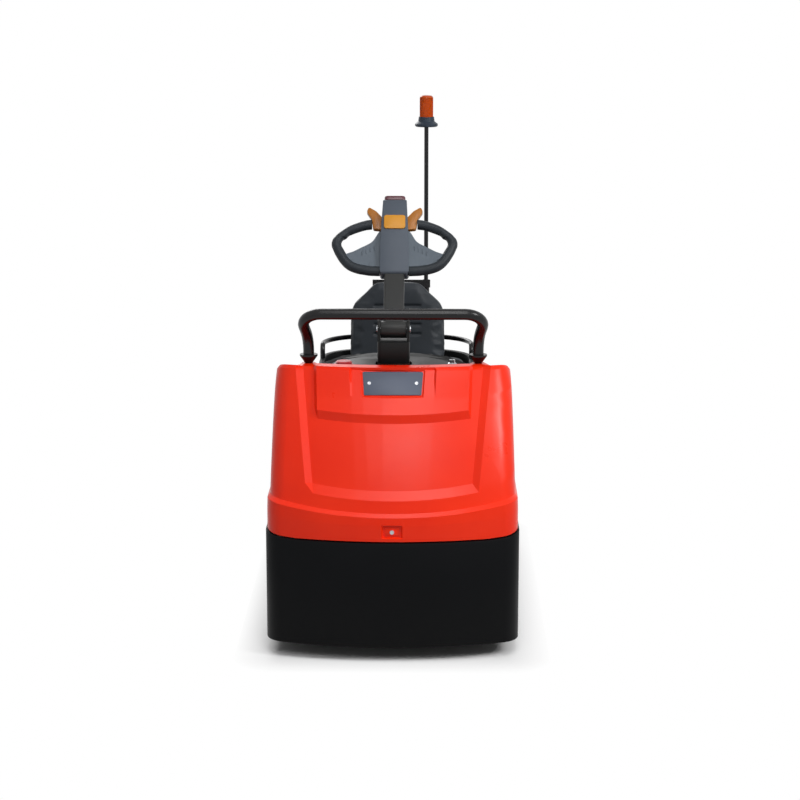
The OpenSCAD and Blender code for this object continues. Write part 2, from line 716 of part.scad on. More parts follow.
module tiller_head() {
    l = head_end - head_u;
    face = -head_t / 2;
    side = [[face + 8, head_u], [-face, head_u], [-face - 6, head_end], [face + 14, head_end],
        [face, head_end - l / 4], [face, head_waist]];
    front = both_halves(rounded([[0, head_u], [head_w / 2, head_u], [head_w / 2, head_waist],
        [head_top_w / 2, head_end], [0, head_end]], [0, 12, 60, 8, 0]));
    color(GREY) place() tiller_frame() intersection() {
        rotate([90, 0, 90]) translate([0, 0, -head_w]) linear_extrude(2 * head_w)
            polygon(rounded(side, [10, 8, 8, 8, 40, 10]));
        rotate([90, 0, 0]) translate([0, 0, -head_t]) linear_extrude(2 * head_t) polygon(front);
    }
}

// Grips: a loop at each side of the head, closed below by a wing
grip_low = 22;
grip_high = 175;
grip_shoulder = 44;
grip_drop = 64;
wing_t = 18;
wing_top = 150;
wing_out = 26;

module tiller_grips() {
    u0 = head_u + grip_low;
    u1 = head_u + grip_high;
    x0 = head_half(u1 - grip_d / 2) + seat_gap;
    x1 = grip_span / 2 - grip_d / 2;
    low_x = head_w / 2 + seat_gap;
    path = [[x0, 0, u1], [x1 - grip_shoulder / 2, 0, u1], [x1, 0, u1 - grip_drop],
        [x1 - grip_shoulder, 0, u0 + 8], [low_x + grip_d, 0, u0 - 6], [low_x, 0, u0 - 6]];
    wing = rounded([[low_x, u0 - 2], [x1 - grip_shoulder, u0 + 6], [x1 - wing_out, u0 + 44],
        [x1 - grip_shoulder - 14, u0 + 56], [x0 + 26, head_u + wing_top - 40], [x0 + 4, head_u + wing_top]],
        [0, 14, 10, 10, 40, 0]);
    color(SLATE) place() tiller_frame() mirrored() {
        swept(rounded_path(path, [0, 34, 42, 34, 60, 0], BEND_STEPS), grip_d, GRIP_SIDES);
        rotate([90, 0, 0]) translate([0, 0, -wing_t / 2]) linear_extrude(wing_t) polygon(wing);
    }
}

// Butterfly levers, which lie beside the head's upper end
lever_t = 16;

module tiller_levers() {
    u0 = head_u + grip_high + grip_d / 2 + 2;
    u1 = u0 + 30;
    x0 = head_half(u0) + seat_gap;
    x1 = head_half(u1) + seat_gap;
    blade = rounded([[x0, u0], [x0 + 26, u0 + 2], [x0 + 30, u0 + 26], [x0 + 46, u0 + 44], [x0 + 40, u0 + 56],
        [x0 + 18, u0 + 46], [x1, u1]], [2, 6, 12, 6, 6, 12, 4]);
    color(YELLOW) place() tiller_frame() mirrored()
        rotate([90, 0, 0]) translate([0, 0, -lever_t / 2]) linear_extrude(lever_t) polygon(blade);
}

// Yellow key panel on the head's face
key_panel_w = 64;
key_panel_l = 46;
key_panel_t = 4;
key_panel_u = 146;

module tiller_panel() {
    color(YELLOW) place() tiller_frame()
        translate([0, -head_t / 2 - seat_gap, head_u + key_panel_u + key_panel_l / 2]) rotate([90, 0, 0])
        linear_extrude(key_panel_t) polygon(round_rect(key_panel_w, key_panel_l, 8));
}

module tiller_button() {
    color("#5a2330") place() tiller_frame() translate([0, 4, tiller_l - button_h])
        linear_extrude(button_h) polygon(round_rect(head_top_w - 8, head_t - 26, 10));
}

// Floor between hood and rear body

mat_t = 5;
mat_corner_r = 20;
mat_edge = 24;
mat_ribs = 11;
mat_rib_h = 3;
sill_w = 40;

module floor_frame() {
    l = rear_y - hood_l - 2 * seat_gap;
    t = skirt_t;
    half = [[0, floor_z], [half_w, floor_z], [half_w, ground_gap], [half_w - sill_w, ground_gap],
        [half_w - sill_w, ground_gap + t], [half_w - t, ground_gap + t], [half_w - t, floor_z - t], [0, floor_z - t]];
    color(BLACK) place() translate([0, hood_l + seat_gap + l, 0]) rotate([90, 0, 0]) linear_extrude(l)
        polygon(both_halves(half));
}

module floor_mat() {
    w = overall_w - 2 * mat_edge;
    l = rear_y - hood_l - 2 * mat_edge;
    pitch = l / (mat_ribs + 1);
    color(BLACK) place() translate([0, (hood_l + rear_y) / 2, floor_z + seat_gap]) {
        linear_extrude(mat_t) polygon(round_rect(w, l, min(mat_corner_r, l / 3)));
        for (i = [1:mat_ribs]) translate([-w / 2 + mat_edge, i * pitch - l / 2 - pitch / 4, mat_t])
            cube([w - 2 * mat_edge, pitch / 2, mat_rib_h]);
    }
}

// Rear body

wheel_x = half_w - skirt_t - pass_gap - tyre_w / 2;
inner_x = wheel_x - tyre_w / 2 - pass_gap;
inner_t = 6;
arch_gap = 22;
battery_z = 60;
rear_seam = seam_z + seam_gap;

// Turns what is built from its bowed end so that the end is at the body's rear
module rear_place() {
    place() translate([0, body_l, 0]) rotate([0, 0, 180]) children();
}

module rear_frame() {
    wall_h = seam_z - battery_z - seam_rise;
    color(BLACK) rear_place() {
        difference() {
            skirt(rear_l);
            for (s = [-1, 1]) translate([s * (half_w - skirt_t / 2), body_l - axle_y, axle_z]) rotate([0, 90, 0])
                cylinder(d = wheel_d + 2 * arch_gap, h = 3 * skirt_t, center = true);
        }
        translate([-half_w + skirt_t, rear_l - skirt_t, ground_gap])
            cube([overall_w - 2 * skirt_t, skirt_t, seam_z + seam_rise - ground_gap]);
        translate([0, 0, battery_z]) linear_extrude(skirt_t) intersection() {
            plan(half_w, rear_l, skirt_t / 2);
            translate([-inner_x, 0]) square([2 * inner_x, rear_l]);
        }
        for (x = [-inner_x, inner_x - inner_t]) translate([x, 0, battery_z]) linear_extrude(wall_h) intersection() {
            translate([-x, 0]) plan(half_w, rear_l, skirt_t / 2);
            square([inner_t, rear_l]);
        }
    }
}

module battery_block() {
    gap = 12;
    w = 2 * (inner_x - inner_t - gap);
    color(SLATE) place() translate([-w / 2, rear_y + skirt_t + gap, battery_z + skirt_t + seat_gap])
        cube([w, rear_l - 2 * skirt_t - 6 * gap, seam_z - battery_z - 3 * gap]);
}

module rear_axles() {
    flange_d = 84;
    flange_t = boss_half;
    color(STEEL) place() translate([0, axle_y, axle_z]) mirrored() {
        rod([inner_x + seat_gap, 0, 0], [wheel_x + boss_half + 2, 0, 0], axle_d);
        rod([inner_x + seat_gap, 0, 0], [wheel_x - boss_half - 2, 0, 0], flange_d);
    }
}

module rear_rim(side) {
    color(STEEL) place() translate([side * wheel_x, axle_y, axle_z]) rim();
}

module rear_tyre(side) {
    color(BLACK) place() translate([side * wheel_x, axle_y, axle_z]) tyre();
}

module rear_rim_left() { rear_rim(-1); }
module rear_rim_right() { rear_rim(1); }
module rear_tyre_left() { rear_tyre(-1); }
module rear_tyre_right() { rear_tyre(1); }

// The rear cover has the hood's belt and shoulders, without its panel
REAR_LINES = [[0, 0, 0, 0, 0, 0, 0], [90, 90, 0, 0, 0, 0, 0], [180, 180, 0, 0, 0, 0, 0], [250, 250, 0, 0, 0, 0, 0]];
REAR_ROWS = [
    [0, 0, 4, -9, 0, 0, 0, 0, 0, 0, 0],
    [69, 34, 5, -8, 0, 0, 0, 0, 0, 0, 0],
    [79, 34, 12, 0, 0, 0, 0, 0, 0, 0, 0],
    [cover_h - 82, 14, 13, 0, 0, 0, 0, 0, 0, 0, 0],
    [cover_h - 40, 2, 15, 0, 0, 0, 0, 0, 0, 0, 0],
    [cover_h - 16, 0, 16, 0, 1, 12, 0, 0, 0, 0, 0],
    [cover_h - 8, 0, 17, 0, 4, 35, 0, 0, 0, 0, 0],
    [cover_h - 2, 0, 17.5, 0, 12, 65, 0, 0, 0, 0, 0],
    [cover_h, 0, 17.5, 0, 24, 90, 0, 0, 0, 0, 0]];
rear_front = profile(cover_h, REAR_LEAN, cover_h);

module rear_cover() {
    color(RED) rear_place() shell(REAR_ROWS, REAR_LINES, rear_l, REAR_LEAN);
}

// Seat and its tub

deck_t = 6;
deck_z = rear_seam + cover_h + seat_gap;
deck_top = deck_z + deck_t;
deck_inset = 34;
tub_t = 18;
tub_r = 150;
tub_y0 = rear_y + 24;
tub_set = 209;
tub_y1 = body_l - tub_set;
base_h = 18;
cushion_edge = 10;
back_lean = 10;
back_t = 45;
back_shell_t = 12;
back_z = 72;

module seat_deck() {
    low = seam_z + seam_rise + seat_gap;
    turn = REAR_ROWS[3];
    top = REAR_ROWS[8];
    edge = 1;
    side = half_w - turn[SIDE] - wall - edge;
    lip = half_w - top[SIDE] - top[INSET] - flange_w - edge;
    lip_drop = 20;
    color(BLACK) {
        rear_place() translate([0, rear_front, deck_z]) linear_extrude(deck_t)
            polygon(plan_points(half_w - top[SIDE], rear_l - rear_front, deck_inset));
        place() translate([0, rear_y + panel_t, 0]) rotate([90, 0, 0]) linear_extrude(panel_t)
            polygon(both_halves([[side, low], [side, rear_seam + turn[Z]], [lip, deck_z - wall - lip_drop],
                [lip, deck_top]]));
    }
}

// Outline of the tub's outer face, moved inwards by inset, open towards the front
function tub_outline(inset) =
    let (w = tub_half_w - inset, y1 = tub_y1 - inset, r = tub_r - inset)
    rounded([[-w, tub_y0], [w, tub_y0], [w, y1], [-w, y1]], [0, 0, r, r], 16);

module seat_tub() {
    color(BLACK) place() translate([0, 0, deck_top + seat_gap]) difference() {
        linear_extrude(tub_h) polygon(tub_outline(0));
        translate([0, -1, -1]) linear_extrude(tub_h + 2) polygon(tub_outline(tub_t));
        translate([-tub_half_w + tub_t, tub_y0 - 1, -1]) cube([2 * (tub_half_w - tub_t), 3, tub_h + 2]);
    }
}

// Hip hoop: a thin tube that follows the tub round the seat's back
module hip_hoop() {
    post_r = 20;
    x = tub_half_w - tub_t / 2;
    y1 = tub_y1 - tub_t / 2;
    r = tub_r - tub_t / 2;
    y0 = y1 - r - post_r - 4;
    z0 = deck_top + 2 * seat_gap + tub_h;
    z1 = z0 + hoop_h;
    color(BLACK) place() tube([[x, y0, z0], [x, y0, z1], [x, y1, z1], [-x, y1, z1], [-x, y0, z1], [-x, y0, z0]],
        [0, post_r, r, r, post_r, 0], hoop_d);
}

cushion_y0 = rear_y - 30;
cushion_y1 = tub_y1 - 119;
cushion_w = 2 * (tub_half_w - tub_t - cushion_edge);
cushion_z = deck_top + seat_gap + base_h;

module seat_base() {
    inset = 30;
    color(BLACK) place() translate([0, (tub_y0 + cushion_y1) / 2, deck_top + seat_gap]) linear_extrude(base_h)
        polygon(round_rect(cushion_w - 2 * inset, cushion_y1 - tub_y0 - inset, 20));
}

module seat_cushion() {
    color(SLATE) place() translate([0, (cushion_y0 + cushion_y1) / 2, cushion_z + seat_gap])
        linear_extrude(cushion_t) polygon(round_rect(cushion_w, cushion_y1 - cushion_y0, 45));
}

// The back leans from its foot on the deck, with sloped shoulders and pressed grooves
back_y = tub_y1 - 111;
back_l = seat_h / cos(back_lean);
shoulder_h = 80;
back_top_half = 74;
groove_half = 80;
groove_h = 8;
groove_d = 5;
groove_pitch = 31;
groove_top = 84;
grooves = 4;

// A point of the back's frame, y behind its face and z up along it, in places from the skirt's front
function back_point(x, y, z) = [x, back_y + y * cos(back_lean) + z * sin(back_lean),
    deck_top + z * cos(back_lean) - y * sin(back_lean)];

module back_frame() {
    translate(back_point(0, 0, 0)) rotate([-back_lean, 0, 0]) children();
}

// Outline of the back from a lower edge to its top, narrower by inset
function back_outline(low, inset) = both_halves(rounded([[0, low], [back_w / 2 - inset, low],
    [back_w / 2 - inset, back_l - shoulder_h - inset / 2], [back_top_half - inset / 2, back_l - inset],
    [0, back_l - inset]], [0, 18, 34, 26, 0]));

module seat_back() {
    color(SLATE) place() back_frame() difference() {
        translate([0, back_t, 0]) rotate([90, 0, 0]) linear_extrude(back_t) polygon(back_outline(back_z, 0));
        for (i = [0:grooves - 1])
            translate([-groove_half, -1, back_l - groove_top - groove_h / 2 - i * groove_pitch])
            cube([2 * groove_half, groove_d + 1, groove_h]);
    }
}

module seat_back_shell() {
    depth = back_t + seat_gap + back_shell_t;
    foot = (depth * sin(back_lean) + seat_gap) / cos(back_lean);
    color(BLACK) place() back_frame() translate([0, depth, 0]) rotate([90, 0, 0])
        linear_extrude(back_shell_t) polygon(back_outline(foot, 6));
}

// Beacon on its pole, carried by a bar behind the back's top

bracket_x0 = -84;
bracket_x1 = 108;
bracket_h = 26;
bracket_t = 12;
pole_x = 94;
socket_d = 22;
socket_h = 44;
socket_set = 3;
bracket_y = back_t + back_shell_t + 2 * seat_gap;
pole_foot = back_point(pole_x, bracket_y + socket_set + socket_d / 2, back_l - bracket_h / 2);
pole_top = deck_top + seat_h + pole_h;

module beacon_pole() {
    color(BLACK) place() {
        back_frame() translate([bracket_x0, bracket_y, back_l - bracket_h + 4])
            cube([bracket_x1 - bracket_x0, bracket_t, bracket_h]);
        translate([pole_foot.x, pole_foot.y, pole_foot.z - bracket_h])
            cylinder(d = socket_d, h = socket_h);
        rod(pole_foot, [pole_foot.x, pole_foot.y, pole_top], pole_d);
    }
}

flange_h = 9;
beacon_h = 32;

module beacon_place(z) {
    place() translate([pole_foot.x, pole_foot.y, pole_top + seat_gap + z]) children();
}

module beacon_base() {
    color(GREY) beacon_place(0) rotate_extrude()
        polygon([[0, 0], [beacon_d / 2 - 3, 0], [beacon_d / 2, 3], [beacon_d / 2, flange_h],
            [lens_d / 2 + 5, flange_h + 8], [lens_d / 2 + 3, beacon_h], [0, beacon_h]]);
}

module beacon_lens() {
    dome = 8;
    color(AMBER) beacon_place(beacon_h + seat_gap) rotate_extrude()
        polygon(rounded([[0, 0], [lens_d / 2, 0], [lens_d / 2 - 3, lens_h], [0, lens_h]], [0, 0, dome, 0]));
}

// Tow coupling: a ladder of tongues on a back plate, with a lift-out pin

tongues = 4;
coupling_z = 150;
coupling_w = 112;
coupling_plate_w = 170;
coupling_plate_t = 14;
pin_y = body_l + coupling_l - 42;
coupling_h = (tongues - 1) * tongue_pitch + tongue_t;
pin_reach = 14;
pin_collar_d = 42;
pin_collar_h = 8;
pin_ring_d = 8;
pin_ring_w = 38;
pin_ring_h = 46;

module tow_coupling() {
    end_r = body_l + coupling_l - pin_y;
    edge = 22;
    color(BLACK) place() difference() {
        union() {
            translate([-coupling_plate_w / 2, body_l + seat_gap, coupling_z - edge])
                cube([coupling_plate_w, coupling_plate_t, coupling_h + 2 * edge]);
            for (i = [0:tongues - 1]) translate([0, 0, coupling_z + i * tongue_pitch]) linear_extrude(tongue_t) {
                translate([0, pin_y]) circle(r = end_r);
                polygon([[-coupling_w / 2, body_l + coupling_plate_t], [coupling_w / 2, body_l + coupling_plate_t],
                    [end_r, pin_y], [-end_r, pin_y]]);
            }
        }
        translate([0, pin_y, coupling_z - 1]) cylinder(d = pin_d + 2 * fit_gap, h = coupling_h + 2);
    }
}

module tow_pin() {
    top = coupling_z + coupling_h + seat_gap;
    x = pin_ring_w / 2 - pin_ring_d / 2;
    z0 = top + pin_collar_h;
    z1 = z0 + pin_ring_h;
    color(STEEL) place() translate([0, pin_y, 0]) {
        rod([0, 0, coupling_z - pin_reach], [0, 0, top], pin_d);
        rod([0, 0, top], [0, 0, top + pin_collar_h], pin_collar_d);
        tube([[-x, 0, z0], [-x, 0, z1], [x, 0, z1], [x, 0, z0]], [0, 14, 14, 0], pin_ring_d);
    }
}

front_skirt();
front_hood();
hood_plate();
hood_latch();
dash_panel();
cowl_panel();
guard_bar();
stop_button();
key_switch();
turntable_plate();
floor_frame();
floor_mat();
rear_frame();
battery_block();
rear_cover();
seat_deck();
seat_tub();
hip_hoop();
seat_base();
seat_cushion();
seat_back();
seat_back_shell();
beacon_pole();
beacon_base();
beacon_lens();
rear_axles();
tow_coupling();
tow_pin();
drive_fork();
drive_motor();
steering_column();
tiller_yoke();
tiller_pins();
drive_hub();
drive_tyre();
tiller_arm();
tiller_head();
tiller_grips();
tiller_levers();
tiller_panel();
tiller_button();
rear_rim_left();
rear_tyre_left();
rear_rim_right();
rear_tyre_right();
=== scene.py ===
"""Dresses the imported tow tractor: finishes, smoothed mouldings, padding and small hardware.

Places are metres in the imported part's frame: x across, y from the hood (-) to the coupling (+), z up.
"""

import json
import logging
import math
from collections.abc import Callable, Iterator
from contextlib import contextmanager
from dataclasses import dataclass, field
from enum import Enum

import bmesh
import bpy
from mathutils import Matrix, Vector


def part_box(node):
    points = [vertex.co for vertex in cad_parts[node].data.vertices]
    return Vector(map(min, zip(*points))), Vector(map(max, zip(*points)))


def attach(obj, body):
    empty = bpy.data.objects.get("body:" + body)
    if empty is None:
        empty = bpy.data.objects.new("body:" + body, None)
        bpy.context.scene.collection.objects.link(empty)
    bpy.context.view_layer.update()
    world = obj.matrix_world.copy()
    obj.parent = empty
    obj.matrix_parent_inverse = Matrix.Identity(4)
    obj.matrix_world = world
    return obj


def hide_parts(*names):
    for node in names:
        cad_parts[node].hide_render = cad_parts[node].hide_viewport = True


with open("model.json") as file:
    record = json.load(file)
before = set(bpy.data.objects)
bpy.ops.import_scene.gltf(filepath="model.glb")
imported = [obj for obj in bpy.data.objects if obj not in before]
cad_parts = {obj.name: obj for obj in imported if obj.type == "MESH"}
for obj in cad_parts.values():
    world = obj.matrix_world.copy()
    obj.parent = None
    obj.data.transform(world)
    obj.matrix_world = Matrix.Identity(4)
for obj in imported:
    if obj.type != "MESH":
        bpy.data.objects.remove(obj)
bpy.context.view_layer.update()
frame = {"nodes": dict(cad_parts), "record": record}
LOG = logging.getLogger("tow_tractor")

Colour = tuple[int, int, int]
FaceTest = Callable[[bmesh.types.BMFace], bool]

MERGE_REACH = 2e-5
FLAT_ANGLE = 0.6
DUST: Colour = (128, 120, 110)
# A Mix node's sockets when it mixes colours
MIX_FIRST, MIX_SECOND, MIX_RESULT = 6, 7, 2


def clamped(share: float) -> float:
    """Holds a share between 0 and 1."""
    return min(1.0, max(0.0, share))


def eased(share: float) -> float:
    """Lets a share of 0 to 1 start and end softly."""
    return share * share * (3 - 2 * share)


# Editing


def only(obj: bpy.types.Object) -> None:
    """Makes an object the one that is selected and active.

    Args:
        obj: the object.
    """
    if bpy.context.object is not None and bpy.context.object.mode != "OBJECT":
        bpy.ops.object.mode_set(mode="OBJECT")
    bpy.ops.object.select_all(action="DESELECT")
    obj.hide_set(False)
    obj.select_set(True)
    bpy.context.view_layer.objects.active = obj


@contextmanager
def editing(obj: bpy.types.Object) -> Iterator[bpy.types.Object]:
    """Opens obj in edit mode with everything selected, and closes it again.

    Args:
        obj: the mesh object to edit.

    Yields:
        The same object.
    """
    only(obj)
    bpy.ops.object.mode_set(mode="EDIT")
    bpy.ops.mesh.select_mode(type="FACE")
    bpy.ops.mesh.select_all(action="SELECT")
    yield obj
    bpy.ops.object.mode_set(mode="OBJECT")


def pick(obj: bpy.types.Object, test: FaceTest) -> None:
    """Selects the faces of an open mesh that pass a test.

    Args:
        obj: the object in edit mode.
        test: says of a face whether it is wanted.
    """
    bpy.ops.mesh.select_all(action="DESELECT")
    for face in bmesh.from_edit_mesh(obj.data).faces:
        if test(face):
            face.select_set(True)
    bmesh.update_edit_mesh(obj.data)


def facing(axis: Vector, least: float = 0.9) -> FaceTest:
    """A test for faces whose normal points along an axis.

    Args:
        axis: the way to look for, of length 1.
        least: cosine of the widest angle allowed.

    Returns:
        The test, for pick().
    """
    return lambda face: face.normal.dot(axis) > least


def named(name: str) -> bpy.types.Object:
    """Names the object that an operator has just added.

    Args:
        name: the name for the object and its mesh.

    Returns:
        The object.
    """
    obj = bpy.context.object
    obj.name = name
    obj.data.name = name
    return obj


def settle(obj: bpy.types.Object) -> bpy.types.Object:
    """Puts the object's place into its mesh, so that it sits unturned at the origin.

    Args:
        obj: the object.

    Returns:
        The same object.
    """
    only(obj)
    bpy.ops.object.transform_apply(location=True, rotation=True, scale=True)
    return obj


def finish_modifiers(obj: bpy.types.Object) -> None:
    """Applies every modifier of an object, in order.

    Args:
        obj: the object.
    """
    only(obj)
    for modifier in list(obj.modifiers):
        bpy.ops.object.modifier_apply(modifier=modifier.name)


def smooth(obj: bpy.types.Object, angle: float = 35.0) -> None:
    """Shades the object smooth across edges flatter than the angle in degrees."""
    only(obj)
    bpy.ops.object.shade_smooth_by_angle(angle=math.radians(angle))


def copy_of(node: str, name: str) -> bpy.types.Object:
    """A merged copy of a CAD node's mesh, for a piece that replaces it.

    Args:
        node: the CAD node's name.
        name: the new piece's name.

    Returns:
        The new object, with closed edges and no material.
    """
    obj = bpy.data.objects.new(name, frame["nodes"][node].data.copy())
    bpy.context.scene.collection.objects.link(obj)
    obj.data.materials.clear()
    with editing(obj):
        bpy.ops.mesh.remove_doubles(threshold=MERGE_REACH)
        bpy.ops.mesh.customdata_custom_splitnormals_clear()
    return obj


def soften(obj: bpy.types.Object, width: float, segments: int = 2, angle: float = 32.0) -> None:
    """Rounds the sharp edges of a flat-faced piece.

    Args:
        obj: the piece, with merged vertices.
        width: width of the rounding, in metres.
        segments: steps of the rounding.
        angle: edges sharper than this many degrees are rounded.
    """
    with editing(obj):
        bpy.ops.mesh.dissolve_limited(angle_limit=math.radians(FLAT_ANGLE))
    bevel = obj.modifiers.new("rounding", "BEVEL")
    bevel.width = width
    bevel.segments = segments
    bevel.limit_method = "ANGLE"
    bevel.angle_limit = math.radians(angle)
    bevel.use_clamp_overlap = True
    finish_modifiers(obj)
    smooth(obj, angle)


# Finishes


def linear(colour: Colour) -> tuple[float, float, float, float]:
    """Finds the linear value of a colour that is written as it shows on a screen.

    Args:
        colour: red, green and blue, from 0 to 255.

    Returns:
        The linear channels and a full alpha.
    """
    def channel(value: int) -> float:
        """One channel, linear."""
        share = value / 255
        return share / 12.92 if share <= 0.04045 else ((share + 0.055) / 1.055) ** 2.4
    return (*(channel(value) for value in colour), 1.0)


class Tree:
    """A node tree with short calls for adding and joining nodes."""

    def __init__(self, tree: bpy.types.NodeTree) -> None:
        """Keeps the tree and empties it."""
        self.tree = tree
        tree.nodes.clear()

    def add(self, kind: str, **settings: object) -> bpy.types.Node:
        """Adds a node and sets its properties and the defaults of its inputs.

        Args:
            kind: the node's type.
            settings: properties by name; a key with capitals is an input socket, with _ for a space.

        Returns:
            The node.
        """
        node = self.tree.nodes.new(kind)
        for key, value in settings.items():
            if key[0].isupper():
                node.inputs[key.replace("_", " ")].default_value = value
            else:
                setattr(node, key, value)
        return node

    def join(self, out: bpy.types.NodeSocket, into: bpy.types.NodeSocket) -> None:
        """Links an output to an input."""
        self.tree.links.new(out, into)


class Effect:
    """Shader node groups that several finishes share, each built once."""

    @staticmethod
    def group(
        name: str, inputs: dict[str, float | tuple], outputs: dict[str, str],
    ) -> tuple[Tree, dict, dict]:
        """Starts a group with named sockets.

        Args:
            name: the group's name.
            inputs: default value by name; a tuple makes a colour socket.
            outputs: socket type by name.

        Returns:
            The tree, its input sockets and its output sockets, by name.
        """
        made = bpy.data.node_groups.new(name, "ShaderNodeTree")
        for key, value in inputs.items():
            kind = "NodeSocketColor" if isinstance(value, tuple) else "NodeSocketFloat"
            made.interface.new_socket(key, in_out="INPUT", socket_type=kind).default_value = value
        for key, kind in outputs.items():
            made.interface.new_socket(key, in_out="OUTPUT", socket_type=kind)
        tree = Tree(made)
        entry, leave = tree.add("NodeGroupInput"), tree.add("NodeGroupOutput")
        taken = {key: entry.outputs[key] for key in inputs}
        given = {key: leave.inputs[key] for key in outputs}
        return tree, taken, given

    @classmethod
    def tone_drift(cls) -> bpy.types.NodeTree:
        """A colour that wanders slowly towards a second one over the surface.

        Returns:
            The node group, with Colour, Second and Scale in and Colour out.
        """
        name = "tone_drift"
        if name in bpy.data.node_groups:
            return bpy.data.node_groups[name]
        tree, taken, given = cls.group(
            name, {"Colour": (1, 1, 1, 1), "Second": (0, 0, 0, 1), "Scale": 4.0},
            {"Colour": "NodeSocketColor"})
        place = tree.add("ShaderNodeTexCoord")
        cloud = tree.add("ShaderNodeTexNoise", Detail=3.0, Roughness=0.55)
        spread = tree.add("ShaderNodeMapRange", From_Min=0.32, From_Max=0.68)
        mix = tree.add("ShaderNodeMix", data_type="RGBA")
        tree.join(place.outputs["Object"], cloud.inputs["Vector"])
        tree.join(taken["Scale"], cloud.inputs["Scale"])
        tree.join(cloud.outputs["Fac"], spread.inputs["Value"])
        tree.join(spread.outputs["Result"], mix.inputs["Factor"])
        tree.join(taken["Colour"], mix.inputs[MIX_FIRST])
        tree.join(taken["Second"], mix.inputs[MIX_SECOND])
        tree.join(mix.outputs[MIX_RESULT], given["Colour"])
        return tree.tree

    @classmethod
    def gloss_drift(cls) -> bpy.types.NodeTree:
        """A roughness that wanders between two values over the surface.

        Returns:
            The node group, with Low, High and Scale in and Roughness out.
        """
        name = "gloss_drift"
        if name in bpy.data.node_groups:
            return bpy.data.node_groups[name]
        tree, taken, given = cls.group(
            name, {"Low": 0.3, "High": 0.4, "Scale": 9.0}, {"Roughness": "NodeSocketFloat"})
        place = tree.add("ShaderNodeTexCoord")
        cloud = tree.add("ShaderNodeTexNoise", Detail=5.0, Roughness=0.6)
        spread = tree.add("ShaderNodeMapRange", From_Min=0.3, From_Max=0.7)
        tree.join(place.outputs["Object"], cloud.inputs["Vector"])
        tree.join(taken["Scale"], cloud.inputs["Scale"])
        tree.join(cloud.outputs["Fac"], spread.inputs["Value"])
        tree.join(taken["Low"], spread.inputs["To Min"])
        tree.join(taken["High"], spread.inputs["To Max"])
        tree.join(spread.outputs["Result"], given["Roughness"])
        return tree.tree

    @classmethod
    def dust_veil(cls) -> bpy.types.NodeTree:
        """A mask of floor dust that thins out with height.

        Returns:
            The node group, with Reach and Strength in and Mask out.
        """
        name = "dust_veil"
        if name in bpy.data.node_groups:
            return bpy.data.node_groups[name]
        tree, taken, given = cls.group(
            name, {"Reach": 0.25, "Strength": 0.2}, {"Mask": "NodeSocketFloat"})
        place = tree.add("ShaderNodeTexCoord")
        axes = tree.add("ShaderNodeSeparateXYZ")
        cloud = tree.add("ShaderNodeTexNoise", Scale=26.0, Detail=6.0, Roughness=0.7)
        fade = tree.add("ShaderNodeMapRange", To_Min=1.0, To_Max=0.0)
        broken = tree.add("ShaderNodeMath", operation="MULTIPLY")
        amount = tree.add("ShaderNodeMath", operation="MULTIPLY")
        tree.join(place.outputs["Object"], axes.inputs["Vector"])
        tree.join(place.outputs["Object"], cloud.inputs["Vector"])
        tree.join(axes.outputs["Z"], fade.inputs["Value"])
        tree.join(taken["Reach"], fade.inputs["From Max"])
        tree.join(fade.outputs["Result"], broken.inputs[0])
        tree.join(cloud.outputs["Fac"], broken.inputs[1])
        tree.join(broken.outputs["Value"], amount.inputs[0])
        tree.join(taken["Strength"], amount.inputs[1])
        tree.join(amount.outputs["Value"], given["Mask"])
        return tree.tree

    @classmethod
    def relief(cls, grain: "Grain") -> bpy.types.NodeTree:
        """The height of a surface's own grain.

        Args:
            grain: the kind of surface.

        Returns:
            The node group, with Scale in and Height out.
        """
        name = f"{grain.value}_relief"
        if name in bpy.data.node_groups:
            return bpy.data.node_groups[name]
        tree, taken, given = cls.group(name, {"Scale": 300.0}, {"Height": "NodeSocketFloat"})
        place = tree.add("ShaderNodeTexCoord")
        vector = place.outputs["Object"]
        if grain is Grain.BRUSHED:
            stretch = tree.add("ShaderNodeMapping", Scale=(0.06, 1.0, 1.0))
            tree.join(vector, stretch.inputs["Vector"])
            vector = stretch.outputs["Vector"]
        if grain in (Grain.HIDE, Grain.CAST):
            cells = tree.add("ShaderNodeTexVoronoi", feature="SMOOTH_F1", Smoothness=0.35)
            tree.join(vector, cells.inputs["Vector"])
            tree.join(taken["Scale"], cells.inputs["Scale"])
            height = cells.outputs["Distance"]
        else:
            detail = 2.0 if grain is Grain.PEEL else 4.0
            cells = tree.add("ShaderNodeTexNoise", Detail=detail, Roughness=0.5)
            tree.join(vector, cells.inputs["Vector"])
            tree.join(taken["Scale"], cells.inputs["Scale"])
            height = cells.outputs["Fac"]
        tree.join(height, given["Height"])
        return tree.tree


class Grain(Enum):
    """Kinds of surface relief."""

    PEEL = "peel"
    MOULD = "mould"
    CAST = "cast"
    HIDE = "hide"
    BRUSHED = "brushed"


